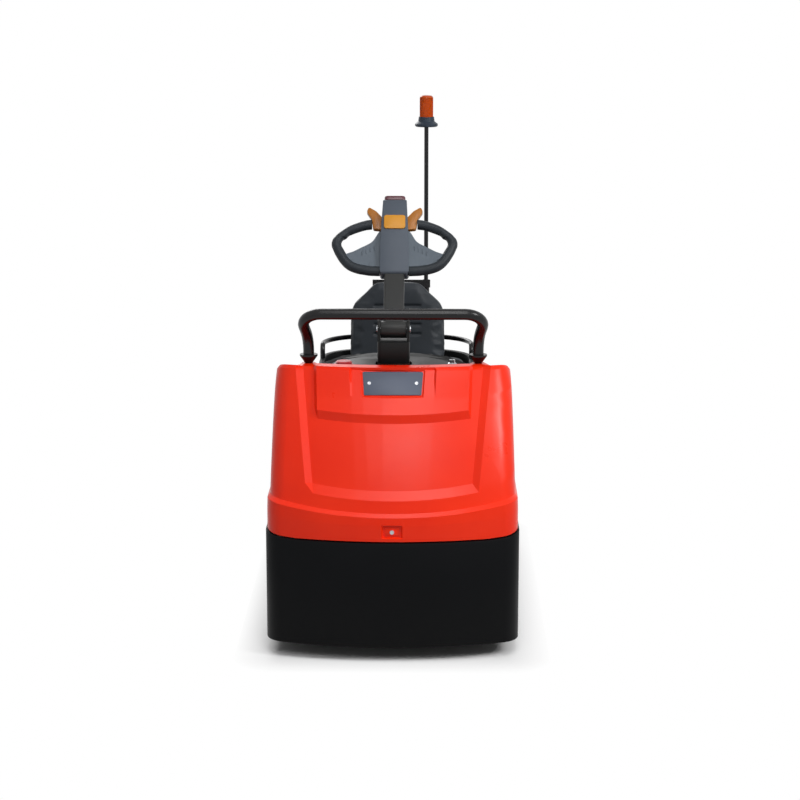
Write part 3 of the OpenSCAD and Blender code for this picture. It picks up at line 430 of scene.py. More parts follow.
@dataclass(frozen=True)
class Finish:
    """One surface finish, as colours, gloss and grain.

    Attributes:
        name: its name, which is the record's material slot or a finish of the scene's own.
        colour, second: the colours that it drifts between.
        low, high: the roughness that it drifts between.
        grain, grain_scale, grain_depth: kind, fineness and height in metres of its relief.
        metallic, sheen, specular: shares that the shader takes as they are.
        dust: strength of the floor dust near the ground.
        drift_scale: fineness of the colour's drift.
    """

    name: str
    colour: Colour
    second: Colour
    low: float
    high: float
    grain: Grain = Grain.PEEL
    grain_scale: float = 300.0
    grain_depth: float = 0.00004
    metallic: float = 0.0
    dust: float = 0.0
    drift_scale: float = 5.0
    sheen: float = 0.0
    specular: float = 0.5

    def material(self) -> bpy.types.Material:
        """Builds the finish as a material, at its first use.

        Returns:
            The material.
        """
        name = f"{self.name}_finish"
        if name in bpy.data.materials:
            return bpy.data.materials[name]
        made = bpy.data.materials.new(name)
        made.use_nodes = True
        made.diffuse_color = linear(self.colour)
        tree = Tree(made.node_tree)
        surface = tree.add(
            "ShaderNodeBsdfPrincipled", Metallic=self.metallic, Sheen_Weight=self.sheen,
            Specular_IOR_Level=self.specular)
        out = tree.add("ShaderNodeOutputMaterial")
        tone = tree.add(
            "ShaderNodeGroup", node_tree=Effect.tone_drift(), Colour=linear(self.colour),
            Second=linear(self.second), Scale=self.drift_scale)
        gloss = tree.add("ShaderNodeGroup", node_tree=Effect.gloss_drift(), Low=self.low, High=self.high)
        relief = tree.add(
            "ShaderNodeGroup", node_tree=Effect.relief(self.grain), Scale=self.grain_scale)
        bump = tree.add("ShaderNodeBump", Strength=1.0, Distance=self.grain_depth)
        colour = tone.outputs["Colour"]
        if self.dust > 0:
            veil = tree.add("ShaderNodeGroup", node_tree=Effect.dust_veil(), Strength=self.dust)
            dusty = tree.add("ShaderNodeMix", data_type="RGBA")
            dusty.inputs[MIX_SECOND].default_value = linear(DUST)
            tree.join(veil.outputs["Mask"], dusty.inputs["Factor"])
            tree.join(colour, dusty.inputs[MIX_FIRST])
            colour = dusty.outputs[MIX_RESULT]
        tree.join(colour, surface.inputs["Base Color"])
        tree.join(gloss.outputs["Roughness"], surface.inputs["Roughness"])
        tree.join(relief.outputs["Height"], bump.inputs["Height"])
        tree.join(bump.outputs["Normal"], surface.inputs["Normal"])
        tree.join(surface.outputs["BSDF"], out.inputs["Surface"])
        return made


FINISHES: dict[str, Finish] = {finish.name: finish for finish in (
    Finish("red_moulding", (246, 47, 10), (240, 41, 7), 0.27, 0.34,
           grain_scale=170, grain_depth=0.000006, specular=0.24),
    Finish("black_steel", (9, 10, 12), (7, 8, 10), 0.4, 0.52,
           grain_scale=420, grain_depth=0.00002, dust=0.02, specular=0.08),
    Finish("black_enamel", (12, 12, 15), (9, 9, 11), 0.22, 0.3,
           grain_scale=350, grain_depth=0.00001, specular=0.3),
    Finish("black_plastic", (17, 18, 18), (13, 14, 14), 0.46, 0.58,
           Grain.MOULD, 900, 0.00004, specular=0.22),
    Finish("grey_plate", (82, 90, 107), (76, 84, 100), 0.34, 0.44,
           Grain.BRUSHED, 900, 0.00002, specular=0.3),
    Finish("bright_steel", (188, 190, 193), (168, 170, 174), 0.24, 0.36,
           Grain.BRUSHED, 1200, 0.00002, metallic=1.0),
    Finish("red_button", (196, 36, 44), (184, 30, 38), 0.25, 0.35),
    Finish("black_rubber", (22, 22, 23), (29, 28, 27), 0.7, 0.85,
           Grain.MOULD, 700, 0.00008, dust=0.2, specular=0.2),
    Finish("grey_plastic", (80, 87, 97), (70, 77, 87), 0.44, 0.54,
           Grain.MOULD, 900, 0.00004, specular=0.25),
    Finish("seat_vinyl", (40, 45, 51), (33, 38, 43), 0.46, 0.58,
           Grain.HIDE, 620, 0.00012, sheen=0.06, specular=0.25),
    Finish("amber_lens", (196, 76, 0), (172, 60, 0), 0.1, 0.16, grain_depth=0.00001, specular=0.22),
    Finish("cast_housing", (52, 54, 57), (44, 45, 48), 0.55, 0.7,
           Grain.CAST, 420, 0.00018, metallic=0.3, dust=0.3),
    Finish("bronze_bush", (112, 87, 80), (92, 70, 62), 0.3, 0.42,
           Grain.BRUSHED, 900, 0.00002, metallic=0.9),
    Finish("tyre_rubber", (24, 24, 25), (33, 32, 31), 0.72, 0.86,
           Grain.MOULD, 500, 0.0001, dust=0.4, specular=0.2),
    Finish("slate_enamel", (44, 44, 43), (38, 39, 39), 0.36, 0.46,
           grain_scale=420, grain_depth=0.00002, specular=0.25),
    Finish("slate_plastic", (38, 43, 48), (31, 36, 41), 0.44, 0.56,
           Grain.MOULD, 800, 0.00005, specular=0.22),
    Finish("yellow_plastic", (208, 144, 44), (196, 132, 34), 0.34, 0.44,
           Grain.MOULD, 900, 0.00003, specular=0.25),
    Finish("dark_red_plastic", (92, 34, 48), (78, 28, 40), 0.28, 0.38),
    Finish("rim_enamel", (140, 143, 147), (126, 129, 133), 0.36, 0.46, grain_scale=380, dust=0.3),
    Finish("beacon_grey", (40, 51, 64), (33, 43, 55), 0.36, 0.46,
           Grain.MOULD, 900, 0.00004, specular=0.25),
    Finish("lever_amber", (178, 112, 34), (140, 84, 24), 0.3, 0.4,
           Grain.MOULD, 900, 0.00003, specular=0.3),
    Finish("wing_grey", (92, 101, 110), (82, 91, 100), 0.46, 0.56,
           Grain.MOULD, 700, 0.00006, specular=0.25),
)}
SLOT_OF: dict[str, str] = {part["node"]: part["material_slot"] for part in frame["record"]["subparts"]}
BODY_OF: dict[str, str] = {
    node: body for body, nodes in frame["record"]["behaviour"]["bodies"].items() for node in nodes}


def paint(obj: bpy.types.Object, finish: str) -> None:
    """Gives the whole object one finish, by its name."""
    obj.data.materials.clear()
    obj.data.materials.append(FINISHES[finish].material())


def mount(
    obj: bpy.types.Object, body: str, slot: str, *replaced: str, finish: str | None = None,
) -> None:
    """Paints a finished piece and fixes it to a body.

    Args:
        obj: the piece, in its place.
        body: the CAD body that it moves with.
        slot: the record's material slot that it belongs to.
        replaced: CAD nodes that it stands for.
        finish: the finish, where it isn't the slot's own.
    """
    settle(obj)
    paint(obj, finish or slot)
    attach(obj, body)
    if replaced:
        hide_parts(*replaced)
    LOG.info("%s: %d faces on %s, %s", obj.name, len(obj.data.polygons), body, slot)


# Sub-assemblies


@dataclass
class RearFall:
    """The dash's crown and the fall of its sides behind the hood's ridge, which the solids show level.

    Attributes:
        start: y behind which the sides fall.
        rate: fall of the sides per metre behind it.
        crown: rise of the middle, as a share of that fall.
        inside, outside: distances from the middle between which crown turns to fall.
        foot, level: heights between which a panel is drawn along, from not at all to fully.
        cuts: cuts per edge, for each panel that bends.
        button: the node whose cap is lowered.
        button_seat, button_sink: height that the cap stands on, and how far it is lowered.
    """

    start: float = -0.5
    rate: float = 0.25
    crown: float = 0.25
    inside: float = 0.12
    outside: float = 0.26
    foot: float = 0.6
    level: float = 0.803
    cuts: dict[str, int] = field(default_factory=lambda: {"dash_panel": 3, "cowl_panel": 11})
    button: str = "stop_button"
    button_seat: float = 0.8065
    button_sink: float = 0.008

    def drop(self, place: Vector) -> float:
        """Finds the fall at a place.

        Args:
            place: the place.

        Returns:
            The fall in metres, less than nothing on the crown.
        """
        side = clamped((abs(place.x) - self.inside) / (self.outside - self.inside))
        share = eased(side) * (1 + self.crown) - self.crown
        return self.rate * max(0.0, place.y - self.start) * share

    def shape(self, obj: bpy.types.Object, node: str) -> None:
        """Crowns the copy of a node that lies behind the ridge, or lowers the button's cap.

        Args:
            obj: the copy.
            node: the CAD node that it stands for.
        """
        if node in self.cuts:
            with editing(obj):
                bpy.ops.mesh.subdivide(number_cuts=self.cuts[node])
            for vertex in obj.data.vertices:
                height = max(0.0, vertex.co.z - self.foot) / (self.level - self.foot)
                vertex.co.z -= self.drop(vertex.co) * height
        if node == self.button:
            for vertex in obj.data.vertices:
                if vertex.co.z > self.button_seat:
                    vertex.co.z = max(self.button_seat, vertex.co.z - self.button_sink)


@dataclass
class Panels:
    """Flat-faced CAD nodes that get rounded edges; the dash and the cowl are crowned first.

    Attributes:
        rounding: width of each node's rounding.
        repainted: finish of each node that doesn't wear its slot's own.
    """

    rounding: dict[str, float] = field(default_factory=lambda: {
        "front_skirt": 0.003, "hood_plate": 0.0012, "hood_latch": 0.001, "dash_panel": 0.002,
        "cowl_panel": 0.003, "turntable_plate": 0.003, "floor_frame": 0.003, "floor_mat": 0.002,
        "rear_frame": 0.003,
        "battery_block": 0.004, "seat_deck": 0.003, "seat_tub": 0.004, "seat_base": 0.004,
        "seat_back_shell": 0.004, "tow_coupling": 0.002, "drive_fork": 0.004, "tiller_yoke": 0.003,
        "tiller_arm": 0.003, "tiller_head": 0.003, "tiller_levers": 0.0015, "tiller_panel": 0.0015,
        "tiller_button": 0.002,
    })
    repainted: dict[str, str] = field(default_factory=lambda: {
        "hood_latch": "red_moulding", "tiller_levers": "lever_amber"})

    def build(self) -> None:
        """Makes the rounded copy of each panel."""
        for node, width in self.rounding.items():
            obj = copy_of(node, f"{node}_rounded")
            RearFall().shape(obj, node)
            soften(obj, width)
            mount(obj, BODY_OF[node], SLOT_OF[node], node, finish=self.repainted.get(node))


@dataclass
class RoundParts:
    """Turned, bent and drawn CAD nodes, which get smooth sides; the stop button is lowered first.

    Attributes:
        nodes: the nodes.
        angle: degrees above which an edge stays sharp.
        repainted: finish of each node that doesn't wear its slot's own.
    """

    nodes: tuple[str, ...] = (
        "guard_bar", "stop_button", "key_switch", "hip_hoop", "beacon_pole", "beacon_base", "rear_axles",
        "tow_pin", "drive_motor", "steering_column", "tiller_pins", "drive_hub", "drive_tyre",
        "tiller_grips", "rear_rim_left", "rear_tyre_left", "rear_rim_right", "rear_tyre_right")
    angle: float = 34.0
    repainted: dict[str, str] = field(default_factory=lambda: {"beacon_base": "beacon_grey"})

    def build(self) -> None:
        """Makes the merged, smooth copy of each part."""
        for node in self.nodes:
            obj = copy_of(node, f"{node}_smooth")
            RearFall().shape(obj, node)
            smooth(obj, self.angle)
            mount(obj, BODY_OF[node], SLOT_OF[node], node, finish=self.repainted.get(node))


@dataclass
class Mouldings:
    """The lofted hood and rear cover, with even shading between their creases.

    Attributes:
        crease_angle: degrees above which an edge stays sharp.
        quad_bend, quad_skew: degrees within which two triangles become one panel.
        ridge_level, ridge_fall: height above which the ridge's flange lies, and its fall.
        ear_foot, ear_level: height above which the side rims sink, and theirs before the dash's fall.
        ear_front, ear_back: y between which that begins and is complete.
        ear_inside, ear_outside: distances from the middle for the same.
        brow_level, brow_half: height of the brow's lower edge at its middle, and half its width.
        brow_rise, brow_curve: rise of that edge towards its ends, and the power of its curve.
        brow_near, brow_back: height from the edge and y within which points belong to it.
        brow_push: how far the edge moves out.
    """

    crease_angle: float = 17.0
    quad_bend: float = 30.0
    quad_skew: float = 80.0
    ridge_level: float = 0.8228
    ridge_fall: float = 0.011
    ear_foot: float = 0.7
    ear_level: float = 0.806
    ear_front: float = -0.505
    ear_back: float = -0.405
    ear_inside: float = 0.262
    ear_outside: float = 0.286
    brow_level: float = 0.7
    brow_half: float = 0.2225
    brow_rise: float = 0.0093
    brow_curve: float = 2.2
    brow_near: float = 0.004
    brow_push: float = 0.004
    brow_back: float = -0.545

    def build(self) -> None:
        """Makes the smooth copy of each moulding."""
        for node in ("front_hood", "rear_cover"):
            obj = copy_of(node, f"{node}_moulding")
            if node == "front_hood":
                self.deepen_brow(obj)
                self.lower_ears(obj)
            self.even_out(obj)
            mount(obj, BODY_OF[node], SLOT_OF[node], node)

    def deepen_brow(self, obj: bpy.types.Object) -> None:
        """Pushes the brow's lower edge out and lets the ridge fall behind its front edge.

        Args:
            obj: the copy of the hood.
        """
        for vertex in obj.data.vertices:
            place = vertex.co
            if place.z > self.ridge_level:
                place.z -= self.ridge_fall
            across = abs(place.x) / self.brow_half
            edge = self.brow_level + self.brow_rise * across ** self.brow_curve
            if across < 1 and place.y < self.brow_back and abs(place.z - edge) < self.brow_near:
                place.y -= self.brow_push

    def lower_ears(self, obj: bpy.types.Object) -> None:
        """Lets the hood's side rims fall with the dash behind the ridge.

        Args:
            obj: the copy of the hood.
        """
        fall = RearFall()
        height = self.ridge_level - self.ear_foot
        for vertex in obj.data.vertices:
            place = vertex.co
            back = clamped((place.y - self.ear_front) / (self.ear_back - self.ear_front))
            side = clamped((abs(place.x) - self.ear_inside) / (self.ear_outside - self.ear_inside))
            above = place.z - self.ear_foot
            if above > 0:
                lost = eased(back * side) * (self.ridge_level + fall.drop(place) - self.ear_level)
                place.z = self.ear_foot + above * (height - lost) / height

    def even_out(self, obj: bpy.types.Object) -> None:
        """Joins the triangles to panels and weighs the normals by area.

        Args:
            obj: the merged copy of a moulding.
        """
        with editing(obj):
            bpy.ops.mesh.tris_convert_to_quads(
                face_threshold=math.radians(self.quad_bend), shape_threshold=math.radians(self.quad_skew))
        smooth(obj, self.crease_angle)
        weights = obj.modifiers.new("even_normals", "WEIGHTED_NORMAL")
        weights.keep_sharp = True
        finish_modifiers(obj)


def joined(name: str, parts: list[bpy.types.Object]) -> bpy.types.Object:
    """Joins finished parts into one object.

    Args:
        name: the new object's name.
        parts: the parts, of which the first takes in the others.

    Returns:
        The joined object.
    """
    for part in parts:
        settle(part)
    only(parts[0])
    for part in parts[1:]:
        part.select_set(True)
    bpy.ops.object.join()
    return named(name)


@dataclass
class Fastener:
    """A bolt or screw head with a sunk drive, standing on a face.

    Attributes:
        radius, height, sides: size of the head and number of its sides.
        socket_inset, edge_round: width of the drive's rim and of the rounding, as shares of the radius.
        socket_depth: depth of the drive, as a share of the height.
    """

    radius: float
    height: float
    sides: int = 6
    socket_inset: float = 0.4
    socket_depth: float = 0.45
    edge_round: float = 0.1

    def build(self, place: Vector, normal: Vector) -> bpy.types.Object:
        """Models one head.

        Args:
            place: point of the face below the head.
            normal: the way that the head points.

        Returns:
            The head.
        """
        bpy.ops.object.select_all(action="DESELECT")
        bpy.ops.mesh.primitive_cylinder_add(
            vertices=self.sides, radius=self.radius, depth=self.height,
            location=place + normal * self.height / 2,
            rotation=normal.to_track_quat("Z", "Y").to_euler())
        obj = named("fastener")
        with editing(obj):
            pick(obj, facing(Vector((0, 0, 1))))
            bpy.ops.mesh.inset(thickness=self.socket_inset * self.radius)
            bpy.ops.mesh.extrude_region_move(
                TRANSFORM_OT_translate={"value": -self.socket_depth * self.height * normal})
        rounding = obj.modifiers.new("rounding", "BEVEL")
        rounding.width = self.edge_round * self.radius
        rounding.segments = 2
        rounding.limit_method = "ANGLE"
        finish_modifiers(obj)
        smooth(obj)
        return obj


@dataclass
class Hardware:
    """Screws, bolts and nuts that the solids leave out.

    Attributes:
        plate_screw, latch_lock, coupling_bolt, wheel_nut: the heads.
        screw_x, coupling_x: distances of screws and bolts from the middle.
        coupling_plate, coupling_edge: thickness of the back plate, and the bolts' distance from its edge.
        nut_circle, nut_seat: radius of a ring of nuts, and how far out from the rim's middle it sits.
        nuts: nuts in a ring.
    """

    plate_screw: Fastener = field(default_factory=lambda: Fastener(0.0052, 0.003, 20))
    latch_lock: Fastener = field(default_factory=lambda: Fastener(0.0062, 0.004, 24))
    coupling_bolt: Fastener = field(default_factory=lambda: Fastener(0.0095, 0.007))
    wheel_nut: Fastener = field(default_factory=lambda: Fastener(0.0075, 0.008))
    screw_x: float = 0.068
    coupling_x: float = 0.069
    coupling_plate: float = 0.014
    coupling_edge: float = 0.02
    nut_circle: float = 0.0575
    nut_seat: float = 0.008
    nuts: int = 6

    def build(self) -> None:
        """Adds all the fasteners."""
        self.front()
        self.coupling()
        for node, side in (("rear_rim_left", -1), ("rear_rim_right", 1)):
            self.wheel(node, side)

    def front(self) -> None:
        """Two screws in the blank plate and the lock of the hood's latch."""
        low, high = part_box("hood_plate")
        tilt = Vector((0, -(high.z - low.z), high.y - low.y)).normalized()
        middle = (low + high) / 2
        heads = [
            self.plate_screw.build(middle + Vector((x, 0, 0)), tilt)
            for x in (-self.screw_x, self.screw_x)]
        mount(joined("plate_screws", heads), "chassis", "bright_steel")
        low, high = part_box("hood_latch")
        lock = self.latch_lock.build(Vector((0, low.y, (low.z + high.z) / 2)), Vector((0, -1, 0)))
        lock.name = "latch_lock"
        mount(lock, "chassis", "bright_steel")

    def coupling(self) -> None:
        """Four bolts in the coupling's back plate."""
        low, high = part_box("tow_coupling")
        face = low.y + self.coupling_plate
        heads = [
            self.coupling_bolt.build(Vector((x, face, z)), Vector((0, 1, 0)))
            for x in (-self.coupling_x, self.coupling_x)
            for z in (low.z + self.coupling_edge, high.z - self.coupling_edge)]
        mount(joined("coupling_bolts", heads), "chassis", "bright_steel")

    def wheel(self, node: str, side: int) -> None:
        """A ring of nuts between the holes of a rear rim.

        Args:
            node: the rim's CAD node.
            side: -1 for the left wheel and 1 for the right.
        """
        low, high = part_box(node)
        seat = (low + high) / 2 + Vector((side * self.nut_seat, 0, 0))
        heads = []
        for index in range(self.nuts):
            turn = 2 * math.pi * (index + 0.5) / self.nuts
            around = Vector((0, math.sin(turn), math.cos(turn))) * self.nut_circle
            heads.append(self.wheel_nut.build(seat + around, Vector((side, 0, 0))))
        mount(joined(f"{node}_nuts", heads), BODY_OF[node], "bright_steel")


@dataclass
class Tiller:
    """The tiller's handle: the shape of its grips and levers, and the finish and ribs of its wings.

    Attributes:
        pivot, lean: place of the tilt's axis, and the tiller's lean back in degrees.
        wing_face: height of the ribs' middle in front of the axis.
        wing_near, wing_flat: distance from the axis and cosine that tell the wings' faces.
        wing_root, wing_inset: width of the wings' inner strip, and how far it is carried in.
        bar_end, bar_bend: distances from the middle where an upper bar ends, and where it has fallen.
        bar_foot, bar_fall: distance along the tiller above which the bars lie, and their fall.
        loop_middle: distance along the tiller of a loop's middle.
        loop_corners: middle line of a loop, as distances from the middle and along the tiller.
        loop_step, loop_cuts: spacing of that line's points, and cuts per edge of the mesh.
        loop_old, loop_new: lengths that round the line's corners in the solids and here.
        loop_far, loop_fade: distance from the line where nothing moves, and the width of the fade.
        lever_from, lever_foot, lever_stretch: where the levers' foot was and is, and their stretch.
        rib, rib_round, rib_angle: size, rounding and shading angle of a rib.
        rib_places: distances of the ribs from the middle and along the tiller.
    """

    pivot: Vector = field(default_factory=lambda: Vector((0.0, -0.405, 0.909)))
    lean: float = 37.0
    wing_face: float = 0.009
    wing_near: float = 0.0105
    wing_flat: float = 0.98
    wing_root: float = 0.004
    wing_inset: float = 0.006
    bar_end: float = 0.068
    bar_bend: float = 0.165
    bar_foot: float = 0.334
    bar_fall: float = 0.026
    loop_middle: float = 0.27
    loop_corners: tuple[tuple[float, float], ...] = (
        (0.068, 0.353), (0.159, 0.353), (0.181, 0.289), (0.137, 0.208), (0.073, 0.194), (0.043, 0.194))
    loop_step: float = 0.002
    loop_cuts: int = 3
    loop_old: float = 0.018
    loop_new: float = 0.036
    loop_far: float = 0.036
    loop_fade: float = 0.018
    lever_from: float = 0.37
    lever_foot: float = 0.332
    lever_stretch: float = 1.4
    rib: Vector = field(default_factory=lambda: Vector((0.0035, 0.016, 0.003)))
    rib_round: float = 0.0012
    rib_angle: float = 40.0
    rib_places: tuple[tuple[float, float], ...] = (
        (0.060, 0.268), (0.072, 0.262), (0.084, 0.256), (0.096, 0.251))

    def build(self) -> None:
        """Shapes the handle, paints the wings and adds their ribs."""
        self.shape_grips()
        self.shape_levers()
        self.paint_wings()
        self.add_ribs()

    def axes(self) -> tuple[Vector, Vector]:
        """Finds the tiller's own directions.

        Returns:
            The direction along it and the one out of its front.
        """
        along = Vector((0, math.sin(math.radians(self.lean)), math.cos(math.radians(self.lean))))
        return along, Vector((0, -along.z, along.y))

    def shape_grips(self) -> None:
        """Ends the grips' upper bars beside the levers, rounds the loops and lets the bars fall."""
        along, _ = self.axes()
        obj = bpy.data.objects["tiller_grips_smooth"]
        for vertex in obj.data.vertices:
            up = (vertex.co - self.pivot).dot(along)
            if abs(vertex.co.x) < self.bar_end and up > self.bar_foot:
                vertex.co.x = math.copysign(self.bar_end, vertex.co.x)
        with editing(obj):
            bpy.ops.mesh.subdivide(number_cuts=self.loop_cuts)
        old, new = self.loop_line(self.loop_old), self.loop_line(self.loop_new)
        for vertex in obj.data.vertices:
            place = vertex.co
            spot = Vector((abs(place.x), (place - self.pivot).dot(along)))
            near = min(range(len(old)), key=lambda k: (old[k] - spot).length_squared)
            fade = clamped((self.loop_far - (old[near] - spot).length) / self.loop_fade)
            move = (new[near] - old[near]) * fade
            place += along * move.y
            place.x += math.copysign(1.0, place.x) * move.x
            across = clamped((abs(place.x) - self.bar_end) / (self.bar_bend - self.bar_end))
            share = clamped((spot.y - self.loop_middle) / (self.bar_foot - self.loop_middle))
            place -= along * self.bar_fall * share * eased(across)

    def loop_line(self, blur: float) -> list[Vector]:
        """Samples the middle line of one loop and rounds its corners.

        Args:
            blur: length over which a point is averaged with those before and after it.

        Returns:
            Places out from the middle and along the tiller.
        """
        line: list[Vector] = []
        for start, end in zip(self.loop_corners, self.loop_corners[1:]):
            a, b = Vector(start), Vector(end)
            count = round((b - a).length / self.loop_step)
            line.extend(a.lerp(b, k / count) for k in range(count))
        reach = round(blur / self.loop_step)
        span = 2 * reach + 1
        first, last = line[1] - line[0], line[-1] - line[-2]
        before = [line[0] - first * k for k in range(reach, 0, -1)]
        after = [line[-1] + last * k for k in range(1, reach + 1)]
        padded = before + line + after
        return [sum(padded[k:k + span], Vector((0.0, 0.0))) / span for k in range(len(line))]

    def shape_levers(self) -> None:
        """Draws the levers down to the panel's level."""
        along, _ = self.axes()
        for vertex in bpy.data.objects["tiller_levers_rounded"].data.vertices:
            up = (vertex.co - self.pivot).dot(along)
            vertex.co += along * (self.lever_foot + (up - self.lever_from) * self.lever_stretch - up)

    def paint_wings(self) -> None:
        """Gives the flat wings between the grips their lighter finish and carries them into the head."""
        obj = bpy.data.objects["tiller_grips_smooth"]
        obj.data.materials.append(FINISHES["wing_grey"].material())
        _, front = self.axes()
        corners: set[int] = set()
        for face in obj.data.polygons:
            level = abs(face.normal.dot(front)) > self.wing_flat
            near = abs((face.center - self.pivot).dot(front)) < self.wing_near
            if level and near:
                face.material_index = 1
                corners.update(face.vertices)
        root = min(abs(obj.data.vertices[index].co.x) for index in corners) + self.wing_root
        for index in corners:
            place = obj.data.vertices[index].co
            if abs(place.x) < root:
                place.x -= math.copysign(self.wing_inset, place.x)

    def add_ribs(self) -> None:
        """Sets a row of raised ribs on each wing."""
        along, front = self.axes()
        turn = Matrix.Rotation(math.radians(90 - self.lean), 4, "X").to_euler()
        ribs = []
        for side in (-1, 1):
            for across, up in self.rib_places:
                place = self.pivot + along * up + front * self.wing_face + Vector((side * across, 0, 0))
                bpy.ops.object.select_all(action="DESELECT")
                bpy.ops.mesh.primitive_cube_add(size=1.0, location=place, rotation=turn, scale=self.rib)
                rib = settle(named("rib"))
                with editing(rib):
                    bpy.ops.mesh.bevel(offset=self.rib_round, segments=3, affect="EDGES")
                smooth(rib, self.rib_angle)
                ribs.append(rib)
        mount(joined("wing_ribs", ribs), "tiller", "slate_plastic", finish="wing_grey")


@dataclass
class Beacon:
    """The fluted amber lens.

    Attributes:
        flutes, flute_depth, flute_edge: number of flutes, their depth and the width of their rims.
        flute_angle: degrees above which an edge stays sharp.
        side_slope: largest upward share of a side face's normal.
        crown: share of the width and rise of each step of the top.
    """

    flutes: int = 40
    flute_depth: float = 0.0011
    flute_edge: float = 0.0005
    flute_angle: float = 25.0
    side_slope: float = 0.1
    crown: tuple[tuple[float, float], ...] = ((0.94, 0.0035), (0.80, 0.0030), (0.5, 0.0015))

    def build(self) -> None:
        """Models the lens in the place of its CAD solid."""
        low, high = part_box("beacon_lens")
        middle, radius = (low + high) / 2, (high.x - low.x) / 2
        rise = sum(step for _, step in self.crown)
        height = high.z - low.z - rise
        bpy.ops.object.select_all(action="DESELECT")
        bpy.ops.mesh.primitive_cylinder_add(
            vertices=self.flutes, radius=radius, depth=height,
            location=(middle.x, middle.y, low.z + height / 2))
        obj = settle(named("beacon_lens_fluted"))
        with editing(obj):
            pick(obj, facing(Vector((0, 0, 1))))
            for share, step in self.crown:
                bpy.ops.mesh.extrude_region_move(TRANSFORM_OT_translate={"value": (0, 0, step)})
                bpy.ops.transform.resize(
                    value=(share, share, 1), center_override=(middle.x, middle.y, high.z))
            pick(obj, lambda face: abs(face.normal.z) < self.side_slope)
            bpy.ops.mesh.inset(thickness=self.flute_edge, use_individual=True)
            bpy.ops.transform.shrink_fatten(value=-self.flute_depth)
        smooth(obj, self.flute_angle)
        mount(obj, BODY_OF["beacon_lens"], "amber_lens", "beacon_lens")


@dataclass
class Padding:
    """The seat's cushion and back, filled by a short cloth run.

    Attributes:
        voxel, relax_factor, relax_steps, shrink: how a blank pad is remeshed, relaxed and drawn in.
        base: height at the foot of a pad that stays where it rests.
        cap: farthest that a point swells.
        pressure, quality, frames: settings of the cloth run.
        back_foot, back_lean, back_length: place of the back's foot, its lean in degrees and its length.
        groove_top, groove_pitch: distance of the first groove from the top, and between grooves.
        groove_half, groove_fade: half a groove's length, and the length over which its ends fade.
        groove_width, groove_depth: width and depth of a groove.
        groove_reach: depth behind the front within which points are pressed.
        grooves: number of grooves.
    """

    voxel: float = 0.006
    relax_factor: float = 0.5
    relax_steps: int = 14
    shrink: float = 0.001
    base: float = 0.006
    cap: float = 0.006
    pressure: float = 3.0
    quality: int = 4
    frames: int = 20
    back_foot: Vector = field(default_factory=lambda: Vector((0.0, 0.330, 0.5963)))
    back_lean: float = 10.0
    back_length: float = 0.3412
    groove_top: float = 0.084
    groove_pitch: float = 0.031
    groove_half: float = 0.080
    groove_fade: float = 0.006
    groove_width: float = 0.0042
    groove_depth: float = 0.0058
    groove_reach: float = 0.02
    grooves: int = 4

    def build(self) -> None:
        """Makes both pads."""
        for node in ("seat_cushion", "seat_back"):
            obj = self.blank(node)
            low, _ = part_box(node)
            self.fill(obj, low.z + self.base)
            rounder = obj.modifiers.new("rounder", "SUBSURF")
            rounder.levels = rounder.render_levels = 1
            finish_modifiers(obj)
            if node == "seat_back":
                self.press_grooves(obj)
            only(obj)
            bpy.ops.object.shade_smooth()
            mount(obj, "chassis", "seat_vinyl", node)

    def blank(self, node: str) -> bpy.types.Object:
        """A remeshed, slightly smaller copy of a pad.

        Args:
            node: the pad's CAD node.

        Returns:
            The copy, with even quads.
        """
        obj = copy_of(node, f"{node}_padded")
        remesh = obj.modifiers.new("even", "REMESH")
        remesh.mode = "VOXEL"
        remesh.voxel_size = self.voxel
        relax = obj.modifiers.new("relax", "SMOOTH")
        relax.factor = self.relax_factor
        relax.iterations = self.relax_steps
        finish_modifiers(obj)
        with editing(obj):
            bpy.ops.transform.shrink_fatten(value=-self.shrink)
        return obj

    def fill(self, obj: bpy.types.Object, base: float) -> None:
        """Swells a pad with cloth under pressure, and keeps each point near its start.

        Args:
            obj: the blank pad.
            base: points below this height stay where they rest.
        """
        scene = bpy.context.scene
        start = [vertex.co.copy() for vertex in obj.data.vertices]
        group = obj.vertex_groups.new(name="held")
        group.add([index for index, place in enumerate(start) if place.z < base], 1.0, "REPLACE")
        cloth = obj.modifiers.new("stuffing", "CLOTH")
        cloth.settings.use_pressure = True
        cloth.settings.uniform_pressure_force = self.pressure
        cloth.settings.effector_weights.gravity = 0.0
        cloth.settings.vertex_group_mass = group.name
        cloth.settings.quality = self.quality
        cloth.point_cache.frame_start, cloth.point_cache.frame_end = 1, self.frames
        for number in range(1, self.frames + 1):
            scene.frame_set(number)
        swollen = obj.evaluated_get(bpy.context.evaluated_depsgraph_get()).data
        moved = [vertex.co.copy() for vertex in swollen.vertices]
        obj.modifiers.remove(cloth)
        for vertex, old, new in zip(obj.data.vertices, start, moved):
            step = new - old
            vertex.co = old + step * min(1.0, self.cap / max(step.length, 1e-9))
        obj.vertex_groups.clear()
        scene.frame_set(1)

    def press_grooves(self, obj: bpy.types.Object) -> None:
        """Presses the level grooves into the front of the back.

        Args:
            obj: the filled back.
        """
        lean = math.radians(self.back_lean)
        up = Vector((0, math.sin(lean), math.cos(lean)))
        inward = Vector((0, math.cos(lean), -math.sin(lean)))
        for vertex in obj.data.vertices:
            place = vertex.co - self.back_foot
            high, deep = place.dot(up), place.dot(inward)
            if deep > self.groove_reach:
                continue
            ends = clamped((self.groove_half - abs(vertex.co.x)) / self.groove_fade)
            for index in range(self.grooves):
                middle = self.back_length - self.groove_top - index * self.groove_pitch
                pressed = math.exp(-(((high - middle) / self.groove_width) ** 2))
                vertex.co += inward * (self.groove_depth * pressed * ends)


# Studio


